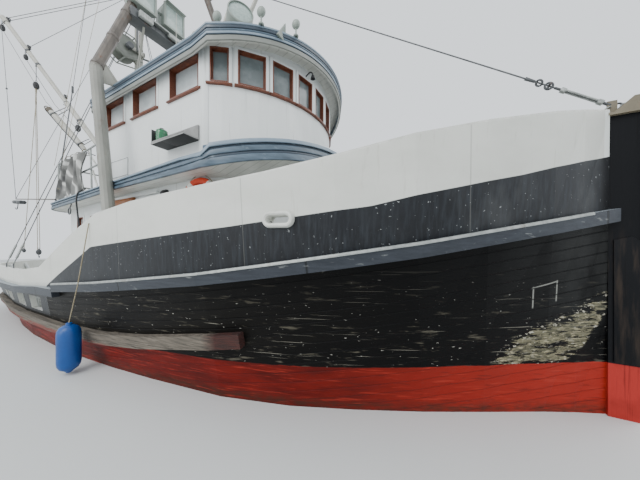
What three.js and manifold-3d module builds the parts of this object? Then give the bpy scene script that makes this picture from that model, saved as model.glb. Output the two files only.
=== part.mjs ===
// A wooden fishing vessel of the 17.7 m seiner type, afloat, in millimetres.
// +X points to the bow, +Y to port and +Z up. The origin lies on the centreline, at the waterline.
// Stations are measured aft from the stem rabbet, so x = STEM_X - aft.
import * as THREE from 'three';
import { mergeVertices } from 'three/addons/utils/BufferGeometryUtils.js';
import Module from 'manifold-3d';

const wasm = await Module();
wasm.setup();

// Driving dimensions of the hull
const STEM_X = 8600;
const GAP = 0.3;
const KEEL_HALF = 120;
const DECK_BELOW_RAIL = 130;
const DECK_BREAK_AFT = 9300;
const DECK_STEP_AFT = 9302;
const WORKING_DECK_Z = 680;
const BULWARK_THICK = 100;
const STERN_START_AFT = 13500;
const STERN_BOTTOM_Z = -1350;

// Heights and half-breadths of the side, bow to stern
const LINES = [
  // aft, half at water, half at rail, half at bulwark top, rail z, bulwark top z
  [0, 60, 120, 150, 2630, 3855],
  [350, 210, 430, 520, 2555, 3760],
  [700, 380, 720, 850, 2480, 3670],
  [1400, 750, 1250, 1400, 2340, 3490],
  [2100, 1110, 1720, 1850, 2200, 3310],
  [2900, 1480, 2050, 2150, 2070, 3125],
  [3700, 1810, 2250, 2330, 1950, 3010],
  [4200, 1955, 2335, 2405, 1880, 2969],
  [4700, 2100, 2420, 2480, 1810, 2928],
  [6100, 2300, 2550, 2590, 1660, 2830],
  [7100, 2410, 2625, 2655, 1560, 2700],
  [8000, 2480, 2670, 2690, 1490, 2370],
  [8600, 2520, 2700, 2710, 1440, 2110],
  [9300, 2530, 2715, 2720, 1400, 1812],
  [9302, 2530, 2715, 2720, 1400, 1811],
  [9560, 2530, 2720, 2725, 1390, 1700],
  [10800, 2520, 2745, 2745, 1310, 1590],
  [12200, 2420, 2710, 2710, 1300, 1580],
  [13500, 2230, 2620, 2620, 1300, 1580],
].map(([aft, water, rail, top, railZ, topZ]) => ({ aft, water, rail, top, railZ, topZ }));

// Underside of the planking along the centreline, and how full each section is below water
const BOTTOM = [
  // aft, z, fullness exponent
  [0, -600, 0.95],
  [350, -1150, 0.9],
  [700, -1400, 0.85],
  [1400, -1560, 0.8],
  [2900, -1620, 0.66],
  [4700, -1650, 0.52],
  [8600, -1650, 0.4],
  [10800, -1620, 0.46],
  [12200, -1520, 0.56],
  [13500, STERN_BOTTOM_Z, 0.72],
].map(([aft, z, full]) => ({ aft, z, full }));

// Profile of the overhanging stern on the centreline
const COUNTER = [
  // z, aft end
  [-1350, 13650],
  [-1000, 14300],
  [-600, 15200],
  [0, 16650],
  [680, 17250],
  [1300, 17400],
  [1600, 17450],
].map(([z, aft]) => ({ z, aft }));

const ROWS_BELOW = [0, 0.1, 0.25, 0.5, 0.75, 1];
const STERN_ANGLES = [15, 30, 42, 54, 64, 74, 83, 90];

// Driving dimensions of the houses
const HOUSE_HALF = 1920;
const WALL = 60;
const FRONT_RADIUS = 2200;
const FRONT_CENTRE_AFT = 6400;
const DECKHOUSE_END_AFT = 10600;
const PILOTHOUSE_END_AFT = 8900;
const BOAT_DECK = { half: 2250, radius: 2700, endAft: 11000, corner: 450 };
const ROOF = { half: 2070, radius: 2480, endAft: 9100, corner: 200, thick: 90, skirt: 240, skirtThick: 40 };

// Heights of the boat deck and the roof along the boat: both sweep up to a visor forward
const UPPER_LEVELS = [
  // aft, boat deck top, boat deck underside, roof top
  [3000, 4170, 3862, 6046],
  [4899, 3600, 3292, 5551],
  [4900, 3508, 3291, 5550],
  [5400, 3485, 3282, 5470],
  [7500, 3389, 3249, 5470],
  [11500, 3207, 3067, 5470],
].map(([aft, deckTop, deckUnder, roofTop]) => ({ aft, deckTop, deckUnder, roofTop }));

const colour = (hex, roughness, metalness = 0) => ({ color: hex, roughness, metalness });
const FINISH = {
  hullBlack: colour(0x26282c, 0.45),
  bottomRed: colour(0x8c2420, 0.6),
  white: colour(0xcfd0c8, 0.5),
  guard: colour(0x3f454f, 0.5),
  timber: colour(0x8b8274, 0.85),
  deck: colour(0x7d807a, 0.85),
  wall: colour(0xc9cccb, 0.5),
  blueTrim: colour(0x4a5c6c, 0.5),
  varnish: colour(0x6b3a28, 0.4),
  steel: colour(0x8d8f88, 0.55, 0.2),
  darkSteel: colour(0x4c4d4f, 0.6, 0.3),
  galvanised: colour(0xa9aca8, 0.5, 0.7),
  bronze: colour(0x8e6b35, 0.35, 0.8),
  fenderBlue: colour(0x1b6fbf, 0.4),
  rope: colour(0xb8a98a, 0.9),
  orange: colour(0xd2491e, 0.55),
  lampHousing: colour(0x6f7a70, 0.5, 0.2),
};

const vessel = new THREE.Group();

// Solids and meshes
function toSolid(geometry) {
  const bare = geometry.clone();
  bare.deleteAttribute('normal');
  bare.deleteAttribute('uv');
  const merged = mergeVertices(bare, 1e-3);
  const solid = new wasm.Manifold(new wasm.Mesh({
    numProp: 3,
    vertProperties: new Float32Array(merged.attributes.position.array),
    triVerts: new Uint32Array(merged.index.array),
  }));
  return solid;
}

function toGeometry(solid) {
  const mesh = solid.getMesh();
  const geometry = new THREE.BufferGeometry();
  geometry.setAttribute('position', new THREE.BufferAttribute(new Float32Array(mesh.vertProperties), 3));
  geometry.setIndex(new THREE.BufferAttribute(new Uint32Array(mesh.triVerts), 1));
  geometry.computeVertexNormals();
  return geometry;
}

const join = (...solids) => solids.reduce((whole, next) => whole.add(next));

// The main body that is left when tools are cut away, without loose slivers
function cut(solid, ...tools) {
  const left = tools.reduce((whole, tool) => whole.subtract(tool), solid);
  return left.decompose().sort((a, b) => b.volume() - a.volume())[0];
}

// The same, without the hair-thin triangles that a cut along a curved side leaves
const SLIVER = 0.02;
const cleanCut = (solid, ...tools) => cut(solid, ...tools).simplify(SLIVER);

function addNode(name, solid, finish, group = vessel) {
  const mesh = new THREE.Mesh(toGeometry(solid), new THREE.MeshStandardMaterial(finish));
  mesh.name = name;
  group.add(mesh);
  return mesh;
}

function shapeOf(points) {
  return new THREE.Shape(points.map(([u, v]) => new THREE.Vector2(u, v)));
}

// A plate with its outline in plan, between two heights
function planPlate(outline, lowZ, highZ) {
  const shape = outline instanceof THREE.Shape ? outline : shapeOf(outline);
  const geometry = new THREE.ExtrudeGeometry(shape, { depth: highZ - lowZ, bevelEnabled: false, curveSegments: 10 });
  return toSolid(geometry.translate(0, 0, lowZ));
}

// A plate with its outline in the side view, points (x, z), between two breadths
function sidePlate(profile, lowY, highY) {
  const geometry = new THREE.ExtrudeGeometry(shapeOf(profile), { depth: highY - lowY, bevelEnabled: false });
  return toSolid(geometry.rotateX(Math.PI / 2).translate(0, highY, 0));
}

function block(lowX, highX, lowY, highY, lowZ, highZ) {
  const geometry = new THREE.BoxGeometry(highX - lowX, highY - lowY, highZ - lowZ);
  return toSolid(geometry.translate((lowX + highX) / 2, (lowY + highY) / 2, (lowZ + highZ) / 2));
}

// A round bar or cone between two points
function bar(from, to, radius, endRadius = radius, sides = 16) {
  const start = new THREE.Vector3(...from);
  const end = new THREE.Vector3(...to);
  const geometry = new THREE.CylinderGeometry(endRadius, radius, start.distanceTo(end), sides);
  const turn = new THREE.Quaternion().setFromUnitVectors(
    new THREE.Vector3(0, 1, 0), end.clone().sub(start).normalize());
  geometry.applyQuaternion(turn);
  const middle = start.add(end).multiplyScalar(0.5);
  return toSolid(geometry.translate(middle.x, middle.y, middle.z));
}

function ball(centre, radius, sides = 16) {
  return toSolid(new THREE.SphereGeometry(radius, sides, sides / 2).translate(...centre));
}

// A pipe through several points, with rounded knees
function pipe(points, radius, sides = 16) {
  const pieces = [];
  for (let i = 1; i < points.length; i += 1) pieces.push(bar(points[i - 1], points[i], radius, radius, sides));
  for (let i = 1; i < points.length - 1; i += 1) pieces.push(ball(points[i], radius * 1.02, sides));
  return join(...pieces);
}

// A turned piece: profile points (radius, height) spun about an axis that starts at a point
function turned(profile, at, axis, sides = 18) {
  const geometry = new THREE.LatheGeometry(profile.map(([r, h]) => new THREE.Vector2(r, h)), sides);
  const turn = new THREE.Quaternion().setFromUnitVectors(new THREE.Vector3(0, 1, 0), new THREE.Vector3(...axis));
  return toSolid(geometry.applyQuaternion(turn).translate(...at));
}

// A skin over rings of equal length, closed at both ends
function loft(rings) {
  const count = rings[0].length;
  const positions = rings.flat().flatMap(([x, y, z]) => [x, y, z]);
  const faces = [];
  for (let r = 0; r < rings.length - 1; r += 1) {
    for (let i = 0; i < count; i += 1) {
      const next = (i + 1) % count;
      const a = r * count + i;
      const b = r * count + next;
      faces.push(a, a + count, b, b, a + count, b + count);
    }
  }
  const last = (rings.length - 1) * count;
  for (let i = 0; i < count / 2 - 1; i += 1) {
    const mirror = count - 1 - i;
    faces.push(i, i + 1, mirror, mirror, i + 1, mirror - 1);
    faces.push(last + i, last + mirror, last + i + 1, last + mirror, last + mirror - 1, last + i + 1);
  }
  const geometry = new THREE.BufferGeometry();
  geometry.setAttribute('position', new THREE.Float32BufferAttribute(positions, 3));
  geometry.setIndex(faces);
  const solid = toSolid(geometry);
  if (solid.volume() > 0) return solid;
  geometry.setIndex(faces.map((_, i) => faces[i - (i % 3) + 2 - (i % 3)]));
  return toSolid(geometry);
}

// Lines of the hull
function alongTable(table, key, value, by = 'aft') {
  if (value <= table[0][by]) return table[0][key];
  for (let i = 1; i < table.length; i += 1) {
    if (value <= table[i][by]) {
      const share = (value - table[i - 1][by]) / (table[i][by] - table[i - 1][by]);
      return table[i - 1][key] + share * (table[i][key] - table[i - 1][key]);
    }
  }
  return table[table.length - 1][key];
}

const line = (key, aft) => alongTable(LINES, key, aft);

function halfBreadth(aft, z) {
  const water = line('water', aft);
  if (z < 0) {
    const bottom = alongTable(BOTTOM, 'z', aft);
    const keel = Math.min(KEEL_HALF, water);
    const share = Math.max(0, 1 - z / bottom);
    return keel + (water - keel) * share ** alongTable(BOTTOM, 'full', aft);
  }
  const railZ = line('railZ', aft);
  const rail = line('rail', aft);
  if (z <= railZ) return water + ((rail - water) * z) / railZ;
  return rail + ((line('top', aft) - rail) * (z - railZ)) / (line('topZ', aft) - railZ);
}

const deckZ = (aft) => (aft <= DECK_BREAK_AFT ? line('railZ', aft) - DECK_BELOW_RAIL : WORKING_DECK_Z);

// A rib is one frame of the hull: square to the keel forward, fanned around the stern aft
const RIBS = LINES.map(({ aft }) => ({ aft, angle: 0 }))
  .concat(STERN_ANGLES.map((angle) => ({ aft: STERN_START_AFT, angle })));

function ribPoint(rib, z) {
  if (rib.angle === 0) return [STEM_X - rib.aft, halfBreadth(rib.aft, z)];
  const reach = alongTable(COUNTER, 'aft', z, 'z') - STERN_START_AFT;
  const turn = THREE.MathUtils.degToRad(rib.angle);
  const half = Math.max(20, halfBreadth(STERN_START_AFT, z) * Math.cos(turn));
  return [STEM_X - STERN_START_AFT - reach * Math.sin(turn), half];
}

// A point moved square off the side, out when the distance is positive
function offSide(index, z, distance) {
  const [x, y] = ribPoint(RIBS[index], z);
  const [foreX, foreY] = ribPoint(RIBS[Math.max(0, index - 1)], z);
  const [aftX, aftY] = ribPoint(RIBS[Math.min(RIBS.length - 1, index + 1)], z);
  const along = new THREE.Vector2(aftX - foreX, aftY - foreY).normalize();
  const atSternEnd = index === RIBS.length - 1;
  const normal = atSternEnd ? new THREE.Vector2(-1, 0) : new THREE.Vector2(along.y, -along.x);
  if (normal.y < 0) normal.negate();
  if (atSternEnd) normal.set(-1, 0);
  return [x + normal.x * distance, Math.max(2, y + normal.y * distance)];
}

// The planked body, up to the decks
function hullBody(grow) {
  const rings = RIBS.map((rib, index) => {
    const bottom = rib.angle === 0 ? alongTable(BOTTOM, 'z', rib.aft) : STERN_BOTTOM_Z;
    const deck = deckZ(rib.aft);
    const heights = ROWS_BELOW.map((share) => bottom * (1 - share)).concat([deck / 2, deck]);
    const lift = (row) => (row === 0 ? -grow : Math.max(0, row - heights.length + 2) * grow);
    const clear = rib.aft === DECK_STEP_AFT ? Math.sign(grow) : 0;
    const side = heights.map((z, row) => {
      const [px, py] = offSide(index, z, grow);
      return [px - clear, py, z + lift(row)];
    });
    const starboard = side.map(([x, y, z]) => [x, -y, z]);
    return starboard.concat(side.reverse());
  });
  return loft(rings);
}

const hull = hullBody(0);
const hullCut = hullBody(GAP);
addNode('hull', hull, FINISH.hullBlack);

// Keel and stem timber, along the underside of the planking
const KEEL_SCARF_AFT = 1400;
const STERNPOST_AFT = 14000;
const SHOE_END_AFT = 15500;
const STEM_FRONT = 300;
const STEM_HEAD_Z = 3800;
const KEEL_FLAT_Z = -2100;
const KEEL_FLAT_AFT = 2600;
const SHOE_TOP_Z = -2000;
const x = (aft) => STEM_X - aft;

function counterZ(aft) {
  return alongTable(COUNTER, 'z', aft);
}

const bottomZ = (aft) => (aft <= STERN_START_AFT ? alongTable(BOTTOM, 'z', aft) : counterZ(aft));
const keelTop = BOTTOM.filter(({ aft }) => aft >= KEEL_SCARF_AFT).map(({ aft, z }) => [x(aft) - GAP, z - GAP]);
const keelProfile = [
  ...keelTop,
  [x(13650), bottomZ(13650) - GAP],
  [x(STERNPOST_AFT), bottomZ(STERNPOST_AFT) - GAP],
  [x(STERNPOST_AFT), SHOE_TOP_Z],
  [x(SHOE_END_AFT), SHOE_TOP_Z],
  [x(SHOE_END_AFT), KEEL_FLAT_Z],
  [x(KEEL_FLAT_AFT), KEEL_FLAT_Z],
  [x(KEEL_SCARF_AFT) - GAP, -1930],
];
const KEEL_BODY = cut(sidePlate(keelProfile, -KEEL_HALF, KEEL_HALF), hullCut);
const SHAFT_Z = -1500;
const PROP_AFT = 14300;
const HUB_FORE = 110;
const shaft = bar([x(STERNPOST_AFT) + 30, 0, SHAFT_Z], [x(PROP_AFT) + HUB_FORE + 2 * GAP, 0, SHAFT_Z], 95, 80, 16);
addNode('keel', join(KEEL_BODY, shaft), FINISH.bottomRed);

const stemProfile = [
  [x(0) + GAP, STEM_HEAD_Z],
  [x(-STEM_FRONT), STEM_HEAD_Z],
  [x(-STEM_FRONT), 300],
  [x(-STEM_FRONT) - 60, -500],
  [x(100), -1350],
  [x(600), -1760],
  [x(KEEL_SCARF_AFT) + GAP, -1930],
  [x(1400) + GAP, bottomZ(1400) - GAP],
  [x(700), bottomZ(700) - GAP],
  [x(350), bottomZ(350) - GAP],
  [x(0) + GAP, bottomZ(0) - GAP],
];
addNode('stem_post', cut(sidePlate(stemProfile, -110, 110), hullCut), FINISH.hullBlack);

// A strip that follows the side between two ribs: outline rows are (z above a line, distance out)
function sideStrip(first, last, sign, rowsAt) {
  const rings = [];
  for (let index = first; index <= last; index += 1) {
    rings.push(rowsAt(index).map(([z, out]) => {
      const [px, py] = offSide(index, z, out);
      return [px, sign * py, z];
    }));
  }
  return loft(rings);
}

const ribIndex = (aft) => LINES.findIndex((row) => row.aft === aft);
const lineOf = (key, index) => line(key, RIBS[index].aft);
const BREAK_FORE = ribIndex(DECK_BREAK_AFT);
const BREAK_AFT = ribIndex(DECK_STEP_AFT);
const SIDES = [['starboard', -1], ['port', 1]];

function bulwark(first, last, sign, grow = 0) {
  return sideStrip(first, last, sign, (index) => {
    const low = deckZ(RIBS[index].aft) - 30;
    const rail = lineOf('railZ', index);
    const top = lineOf('topZ', index) + grow;
    return [[low, grow], [rail, grow], [top, grow], [top, -BULWARK_THICK], [rail, -BULWARK_THICK], [low, -BULWARK_THICK]];
  });
}

// Openings in the bulwarks: freeing ports over the working deck, and one hawse forward
const FREEING_PORTS = [[9700, 10400], [10750, 11450], [12000, 12700], [13000, 13400]];
const HAWSE = { aft: 3550, z: 2470, length: 300, height: 120 };

for (const [side, sign] of SIDES) {
  const hawse = block(x(HAWSE.aft + HAWSE.length / 2), x(HAWSE.aft - HAWSE.length / 2), sign > 0 ? 1500 : -3000,
    sign > 0 ? 3000 : -1500, HAWSE.z - HAWSE.height / 2, HAWSE.z + HAWSE.height / 2);
  const aftOfBreak = block(x(DECK_BREAK_AFT) - 300, x(DECK_BREAK_AFT) + 1, -3500, 3500, 0, 4500);
  const foreOfBreak = block(x(DECK_BREAK_AFT) - 3, x(DECK_BREAK_AFT) + 300, -3500, 3500, 0, 4500);
  addNode(`bulwark_forward_${side}`, cut(bulwark(0, BREAK_FORE, sign), hullCut, hawse, aftOfBreak), FINISH.white);
  const ports = FREEING_PORTS.map(([from, to]) => block(x(to), x(from), sign > 0 ? 2000 : -3000,
    sign > 0 ? 3000 : -2000, WORKING_DECK_Z + 60, WORKING_DECK_Z + 370));
  const stern = bulwark(BREAK_AFT, RIBS.length - 1, sign);
  addNode(`bulwark_aft_${side}`, cut(stern, hullCut, foreOfBreak, ...ports), FINISH.white);
}

// Guards: planks that stand proud of the side
const GUARD_OUT = 110;
const GUARD_BELOW_RAIL = 4;
const GUARD_DEEP = 160;
const GUARD_STEP_AFT = 8600;
const LOWER_GUARD_OUT = 120;
const LOWER_GUARD_DEEP = 200;
const LOWER_GUARD_TOP = [
  // aft, z of the top
  [4200, 1035],
  [4700, 960],
  [6100, 760],
  [7100, 670],
  [8600, 620],
].map(([aft, z]) => ({ aft, z }));

function guard(first, last, sign, topZ, deep, out) {
  return sideStrip(first, last, sign, (index) => {
    const top = topZ(index);
    return [[top - deep, -30], [top, -30], [top, out], [top - deep, out]];
  });
}

const sideCut = SIDES.map(([, sign]) => join(hullCut, bulwark(0, BREAK_FORE, sign, 2 * GAP),
  bulwark(BREAK_AFT, RIBS.length - 1, sign, 2 * GAP)));
SIDES.forEach(([side, sign], which) => {
  const step = ribIndex(GUARD_STEP_AFT);
  const foreTop = (index) => lineOf('railZ', index) - GUARD_BELOW_RAIL;
  const foreGuard = guard(0, step, sign, foreTop, GUARD_DEEP, GUARD_OUT);
  const aftTop = (index) => Math.min(1330, lineOf('railZ', index) - 70);
  const aftGuard = guard(step, RIBS.length - 1, sign, aftTop, GUARD_DEEP, GUARD_OUT);
  const lowTop = (index) => alongTable(LOWER_GUARD_TOP, 'z', RIBS[index].aft);
  const lowGuard = guard(ribIndex(4200), RIBS.length - 1, sign, lowTop, LOWER_GUARD_DEEP, LOWER_GUARD_OUT);
  addNode(`upper_guard_forward_${side}`, cleanCut(foreGuard, sideCut[which]), FINISH.guard);
  const aftOnly = cleanCut(aftGuard, sideCut[which],
    block(x(GUARD_STEP_AFT) - 5, x(GUARD_STEP_AFT) + 900, -3500, 3500, 0, 3000));
  addNode(`upper_guard_aft_${side}`, aftOnly, FINISH.guard);
  addNode(`lower_guard_${side}`, cleanCut(lowGuard, sideCut[which]), FINISH.timber);
});

// Heights between the decks, as side-view outlines that trim the walls
const boatDeckTop = (aft) => alongTable(UPPER_LEVELS, 'deckTop', aft);
const levelLine = (key, lift) => UPPER_LEVELS.map((row) => [x(row.aft), row[key] + lift]);
const HOUSE_STATIONS = [3000, 3700, 4700, 6100, 7100, 8000, 8600, 9300];
const lowerSpace = sidePlate([
  ...HOUSE_STATIONS.map((aft) => [x(aft), deckZ(aft) + GAP]),
  [x(9303), deckZ(9300) + GAP],
  [x(9303), WORKING_DECK_Z + GAP],
  [x(11500), WORKING_DECK_Z + GAP],
  ...levelLine('deckUnder', -GAP).reverse(),
], -3000, 3000);
const upperSpace = sidePlate([
  ...levelLine('deckTop', GAP),
  ...levelLine('roofTop', -ROOF.thick - GAP).reverse(),
], -3000, 3000);

// The curved front of both houses, in plan
function frontPlan(radius, half, thick) {
  const outer = Math.asin(half / radius);
  const inner = Math.asin(half / (radius - thick));
  const points = [];
  const steps = 16;
  const centre = x(FRONT_CENTRE_AFT);
  for (let i = 0; i <= steps; i += 1) {
    const turn = -outer + (2 * outer * i) / steps;
    points.push([centre + radius * Math.cos(turn), radius * Math.sin(turn)]);
  }
  for (let i = 0; i <= steps; i += 1) {
    const turn = inner - (2 * inner * i) / steps;
    points.push([centre + (radius - thick) * Math.cos(turn), (radius - thick) * Math.sin(turn)]);
  }
  return points;
}

const frontWall = planPlate(frontPlan(FRONT_RADIUS, HOUSE_HALF, WALL), 1000, 6000);
const frontCut = planPlate(frontPlan(FRONT_RADIUS + GAP, HOUSE_HALF + GAP, WALL + 2 * GAP), 900, 6100);
const sideWallFore = x(FRONT_CENTRE_AFT) + Math.sqrt((FRONT_RADIUS - WALL) ** 2 - (HOUSE_HALF - WALL) ** 2);

// A radial cutter through the curved front: angle off the bow and width of the opening
function frontCutter(angle, width, lowZ, highZ) {
  const turn = THREE.MathUtils.degToRad(angle);
  const geometry = new THREE.BoxGeometry(400, width, highZ - lowZ);
  geometry.translate(FRONT_RADIUS, 0, (lowZ + highZ) / 2).rotateZ(turn).translate(x(FRONT_CENTRE_AFT), 0, 0);
  return toSolid(geometry);
}

// Lower house
const SLIDING_DOOR = { fromAft: 7390, toAft: 8260, lowZ: 1560, highZ: 3150, thick: 40, travel: 800 };
const DOOR_GAP = 6;
const RUNNING_GAP = 0.5;
const SIDE_LIGHTS = [
  // centre aft, width, low z, high z
  [9250, 350, 2250, 2900],
  [10000, 350, 2250, 2900],
];
addNode('deckhouse_front', frontWall.intersect(lowerSpace), FINISH.wall);
for (const [side, sign] of SIDES) {
  const inner = HOUSE_HALF - WALL;
  const lowY = sign > 0 ? inner : -HOUSE_HALF;
  const highY = sign > 0 ? HOUSE_HALF : -inner;
  const slab = block(x(DECKHOUSE_END_AFT), sideWallFore, lowY, highY, 500, 4000).intersect(lowerSpace);
  const lights = SIDE_LIGHTS.map(([aft, width, low, high]) => block(x(aft + width / 2), x(aft - width / 2),
    lowY - 50, highY + 50, low, high));
  const doorway = block(x(SLIDING_DOOR.toAft) + 50, x(SLIDING_DOOR.fromAft) - 50, lowY - 50, highY + 50,
    SLIDING_DOOR.lowZ + 50, SLIDING_DOOR.highZ - 50);
  const openings = sign < 0 ? [...lights, doorway] : lights;
  const track = block(x(SLIDING_DOOR.toAft) - 40, x(SLIDING_DOOR.fromAft) + SLIDING_DOOR.travel + 40,
    -HOUSE_HALF - DOOR_GAP - SLIDING_DOOR.thick - 8, -HOUSE_HALF + 1, SLIDING_DOOR.highZ + RUNNING_GAP,
    SLIDING_DOOR.highZ + 45);
  const wall = cut(slab, frontCut, ...openings);
  addNode(`deckhouse_side_${side}`, sign < 0 ? join(wall, track) : wall, FINISH.wall);
}

const doorOut = HOUSE_HALF + DOOR_GAP;
addNode('deckhouse_sliding_door', block(x(SLIDING_DOOR.toAft), x(SLIDING_DOOR.fromAft),
  -doorOut - SLIDING_DOOR.thick, -doorOut, SLIDING_DOOR.lowZ, SLIDING_DOOR.highZ), FINISH.varnish);

const AFT_DOOR = { lowY: 500, highY: 1200, lowZ: 900, highZ: 2750, thick: 45 };

// Hinges outside an aft-facing doorway: the door's barrel stands on the wall's, both on one upright axis
const HINGE = { out: 12, radius: 11, tall: 90, leaf: 45 };
function hingeHalves(wallX, door) {
  const axisX = wallX - HINGE.out;
  const axisY = door.highY;
  const halves = { wall: [], door: [] };
  for (const low of [door.lowZ + 250, door.highZ - 250 - 2 * HINGE.tall]) {
    const mid = low + HINGE.tall;
    const top = mid + HINGE.tall;
    halves.wall.push(bar([axisX, axisY, low], [axisX, axisY, mid - RUNNING_GAP], HINGE.radius, HINGE.radius, 12));
    halves.wall.push(block(axisX, wallX + 1, axisY + 2, axisY + HINGE.leaf, low, mid - RUNNING_GAP));
    halves.door.push(bar([axisX, axisY, mid], [axisX, axisY, top], HINGE.radius, HINGE.radius, 12));
    halves.door.push(block(axisX - 5, wallX + 1, axisY - HINGE.leaf, axisY - 2, mid, top));
  }
  return halves;
}

const aftWallLow = x(DECKHOUSE_END_AFT);
const aftWall = block(aftWallLow, aftWallLow + WALL, -HOUSE_HALF + WALL + GAP, HOUSE_HALF - WALL - GAP, 500, 4000)
  .intersect(lowerSpace);
const aftHinges = hingeHalves(aftWallLow, AFT_DOOR);
addNode('deckhouse_aft_wall', join(cut(aftWall, block(aftWallLow - 50, aftWallLow + WALL + 50, AFT_DOOR.lowY,
  AFT_DOOR.highY, AFT_DOOR.lowZ, AFT_DOOR.highZ)), ...aftHinges.wall), FINISH.wall);
addNode('deckhouse_aft_door', join(block(aftWallLow, aftWallLow + AFT_DOOR.thick, AFT_DOOR.lowY + DOOR_GAP,
  AFT_DOOR.highY - DOOR_GAP, AFT_DOOR.lowZ + DOOR_GAP, AFT_DOOR.highZ - DOOR_GAP), ...aftHinges.door), FINISH.varnish);

// Boat deck over the lower house, with a curved visor forward and rounded corners aft
function deckOutline(half, radius, endAft, corner) {
  const outline = new THREE.Shape();
  const swing = Math.asin(half / radius);
  const centre = x(FRONT_CENTRE_AFT);
  outline.moveTo(x(endAft), -half + corner);
  outline.absarc(x(endAft) + corner, -half + corner, corner, Math.PI, 1.5 * Math.PI, false);
  outline.lineTo(centre + radius * Math.cos(swing), -half);
  outline.absarc(centre, 0, radius, -swing, swing, false);
  outline.lineTo(x(endAft) + corner, half);
  outline.absarc(x(endAft) + corner, half - corner, corner, 0.5 * Math.PI, Math.PI, false);
  return outline;
}

const boatDeckSlab = sidePlate([...levelLine('deckTop', 0), ...levelLine('deckUnder', 0).reverse()], -3000, 3000);
const boatDeckPlan = planPlate(deckOutline(BOAT_DECK.half, BOAT_DECK.radius, BOAT_DECK.endAft, BOAT_DECK.corner),
  2500, 4500);
const boatDeck = boatDeckPlan.intersect(boatDeckSlab);
addNode('boat_deck', boatDeck, FINISH.blueTrim);

// Pilothouse on the boat deck
const FRONT_WINDOWS = [
  // angle off the bow, width
  [0, 370],
  [12.7, 390],
  [26.2, 410],
  [40.6, 460],
  [54.1, 300],
];
const FRONT_WINDOW = { lowZ: 4850, highZ: 5420 };
const SIDE_WINDOW = { lowZ: 4790, highZ: 5340 };
const SIDE_WINDOWS = [[5430, 6230], [6640, 7480], [7840, 8670]];
const frontCutters = FRONT_WINDOWS.flatMap(([angle, width]) => (angle === 0 ? [0] : [-angle, angle]).map((turn) =>
  frontCutter(turn, width, FRONT_WINDOW.lowZ, FRONT_WINDOW.highZ)));
addNode('pilothouse_front', cut(frontWall.intersect(upperSpace), ...frontCutters), FINISH.wall);
for (const [side, sign] of SIDES) {
  const inner = HOUSE_HALF - WALL;
  const lowY = sign > 0 ? inner : -HOUSE_HALF;
  const highY = sign > 0 ? HOUSE_HALF : -inner;
  const slab = block(x(PILOTHOUSE_END_AFT), sideWallFore, lowY, highY, 3000, 6000).intersect(upperSpace);
  const windows = SIDE_WINDOWS.map(([from, to]) => block(x(to), x(from), lowY - 50, highY + 50,
    SIDE_WINDOW.lowZ, SIDE_WINDOW.highZ));
  addNode(`pilothouse_side_${side}`, cut(slab, frontCut, ...windows), FINISH.wall);
}

const PILOT_DOOR = { lowY: -350, highY: 350, lowZ: 3440, highZ: 5190, thick: 45 };
const pilotAft = x(PILOTHOUSE_END_AFT);
const pilotWall = block(pilotAft, pilotAft + WALL, -HOUSE_HALF + WALL + GAP, HOUSE_HALF - WALL - GAP, 3000, 6000)
  .intersect(upperSpace);
const pilotHinges = hingeHalves(pilotAft, PILOT_DOOR);
addNode('pilothouse_aft_wall', join(cut(pilotWall, block(pilotAft - 50, pilotAft + WALL + 50, PILOT_DOOR.lowY,
  PILOT_DOOR.highY, PILOT_DOOR.lowZ, PILOT_DOOR.highZ)), ...pilotHinges.wall), FINISH.wall);
addNode('pilothouse_door', join(block(pilotAft, pilotAft + PILOT_DOOR.thick, PILOT_DOOR.lowY + DOOR_GAP,
  PILOT_DOOR.highY - DOOR_GAP, PILOT_DOOR.lowZ + DOOR_GAP, PILOT_DOOR.highZ - DOOR_GAP), ...pilotHinges.door),
FINISH.varnish);
const roofPlan = (inset) => planPlate(deckOutline(ROOF.half - inset, ROOF.radius - inset, ROOF.endAft - inset,
  ROOF.corner - inset), 5000, 6500);
const roofBand = (deep) => sidePlate([
  ...levelLine('roofTop', 0),
  ...levelLine('roofTop', -deep).reverse(),
], -3000, 3000);
const roofSlab = roofPlan(0).intersect(roofBand(ROOF.thick));
const roofSkirt = roofPlan(0).subtract(roofPlan(ROOF.skirtThick)).intersect(roofBand(ROOF.skirt));
addNode('pilothouse_roof', join(roofSlab, roofSkirt), FINISH.blueTrim);

// Gantry of two bent legs, a crossbeam and a top beam
const LEG = { radius: 100, flange: 118, flangeThick: 25 };
const LEG_POINTS = [
  // aft, half-breadth, z
  [7100, 2370, 0],
  [7880, 2370, 5650],
  [8180, 1710, 7440],
  [8700, 690, 10250],
];
LEG_POINTS[0][2] = deckZ(7100) + GAP + LEG.flangeThick;
const CROSSBEAM = { z: 7440, deep: 200, wide: 320 };
const TOP_BEAM = { z: 10250, deep: 180, wide: 220 };
const legPoint = (row, sign) => [x(row[0]), sign * row[1], row[2]];
const legs = SIDES.map(([, sign]) => pipe(LEG_POINTS.map((row) => legPoint(row, sign)), LEG.radius, 12));
const legCuts = SIDES.map(([, sign]) => pipe(LEG_POINTS.map((row) => legPoint(row, sign)), LEG.radius + 2 * GAP, 12));
const topBeamCut = block(x(8700) - TOP_BEAM.wide / 2 - GAP, x(8700) + TOP_BEAM.wide / 2 + GAP, -900, 900,
  TOP_BEAM.z - GAP, TOP_BEAM.z + TOP_BEAM.deep + 300);
SIDES.forEach(([side, sign], which) => {
  const foot = LEG_POINTS[0];
  const flange = bar([x(foot[0]), sign * foot[1], foot[2] - LEG.flangeThick],
    [x(foot[0]), sign * foot[1], foot[2] + 40], LEG.flange);
  addNode(`gantry_leg_${side}`, cut(join(legs[which], flange), topBeamCut, hullCut), FINISH.steel);
});
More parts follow.
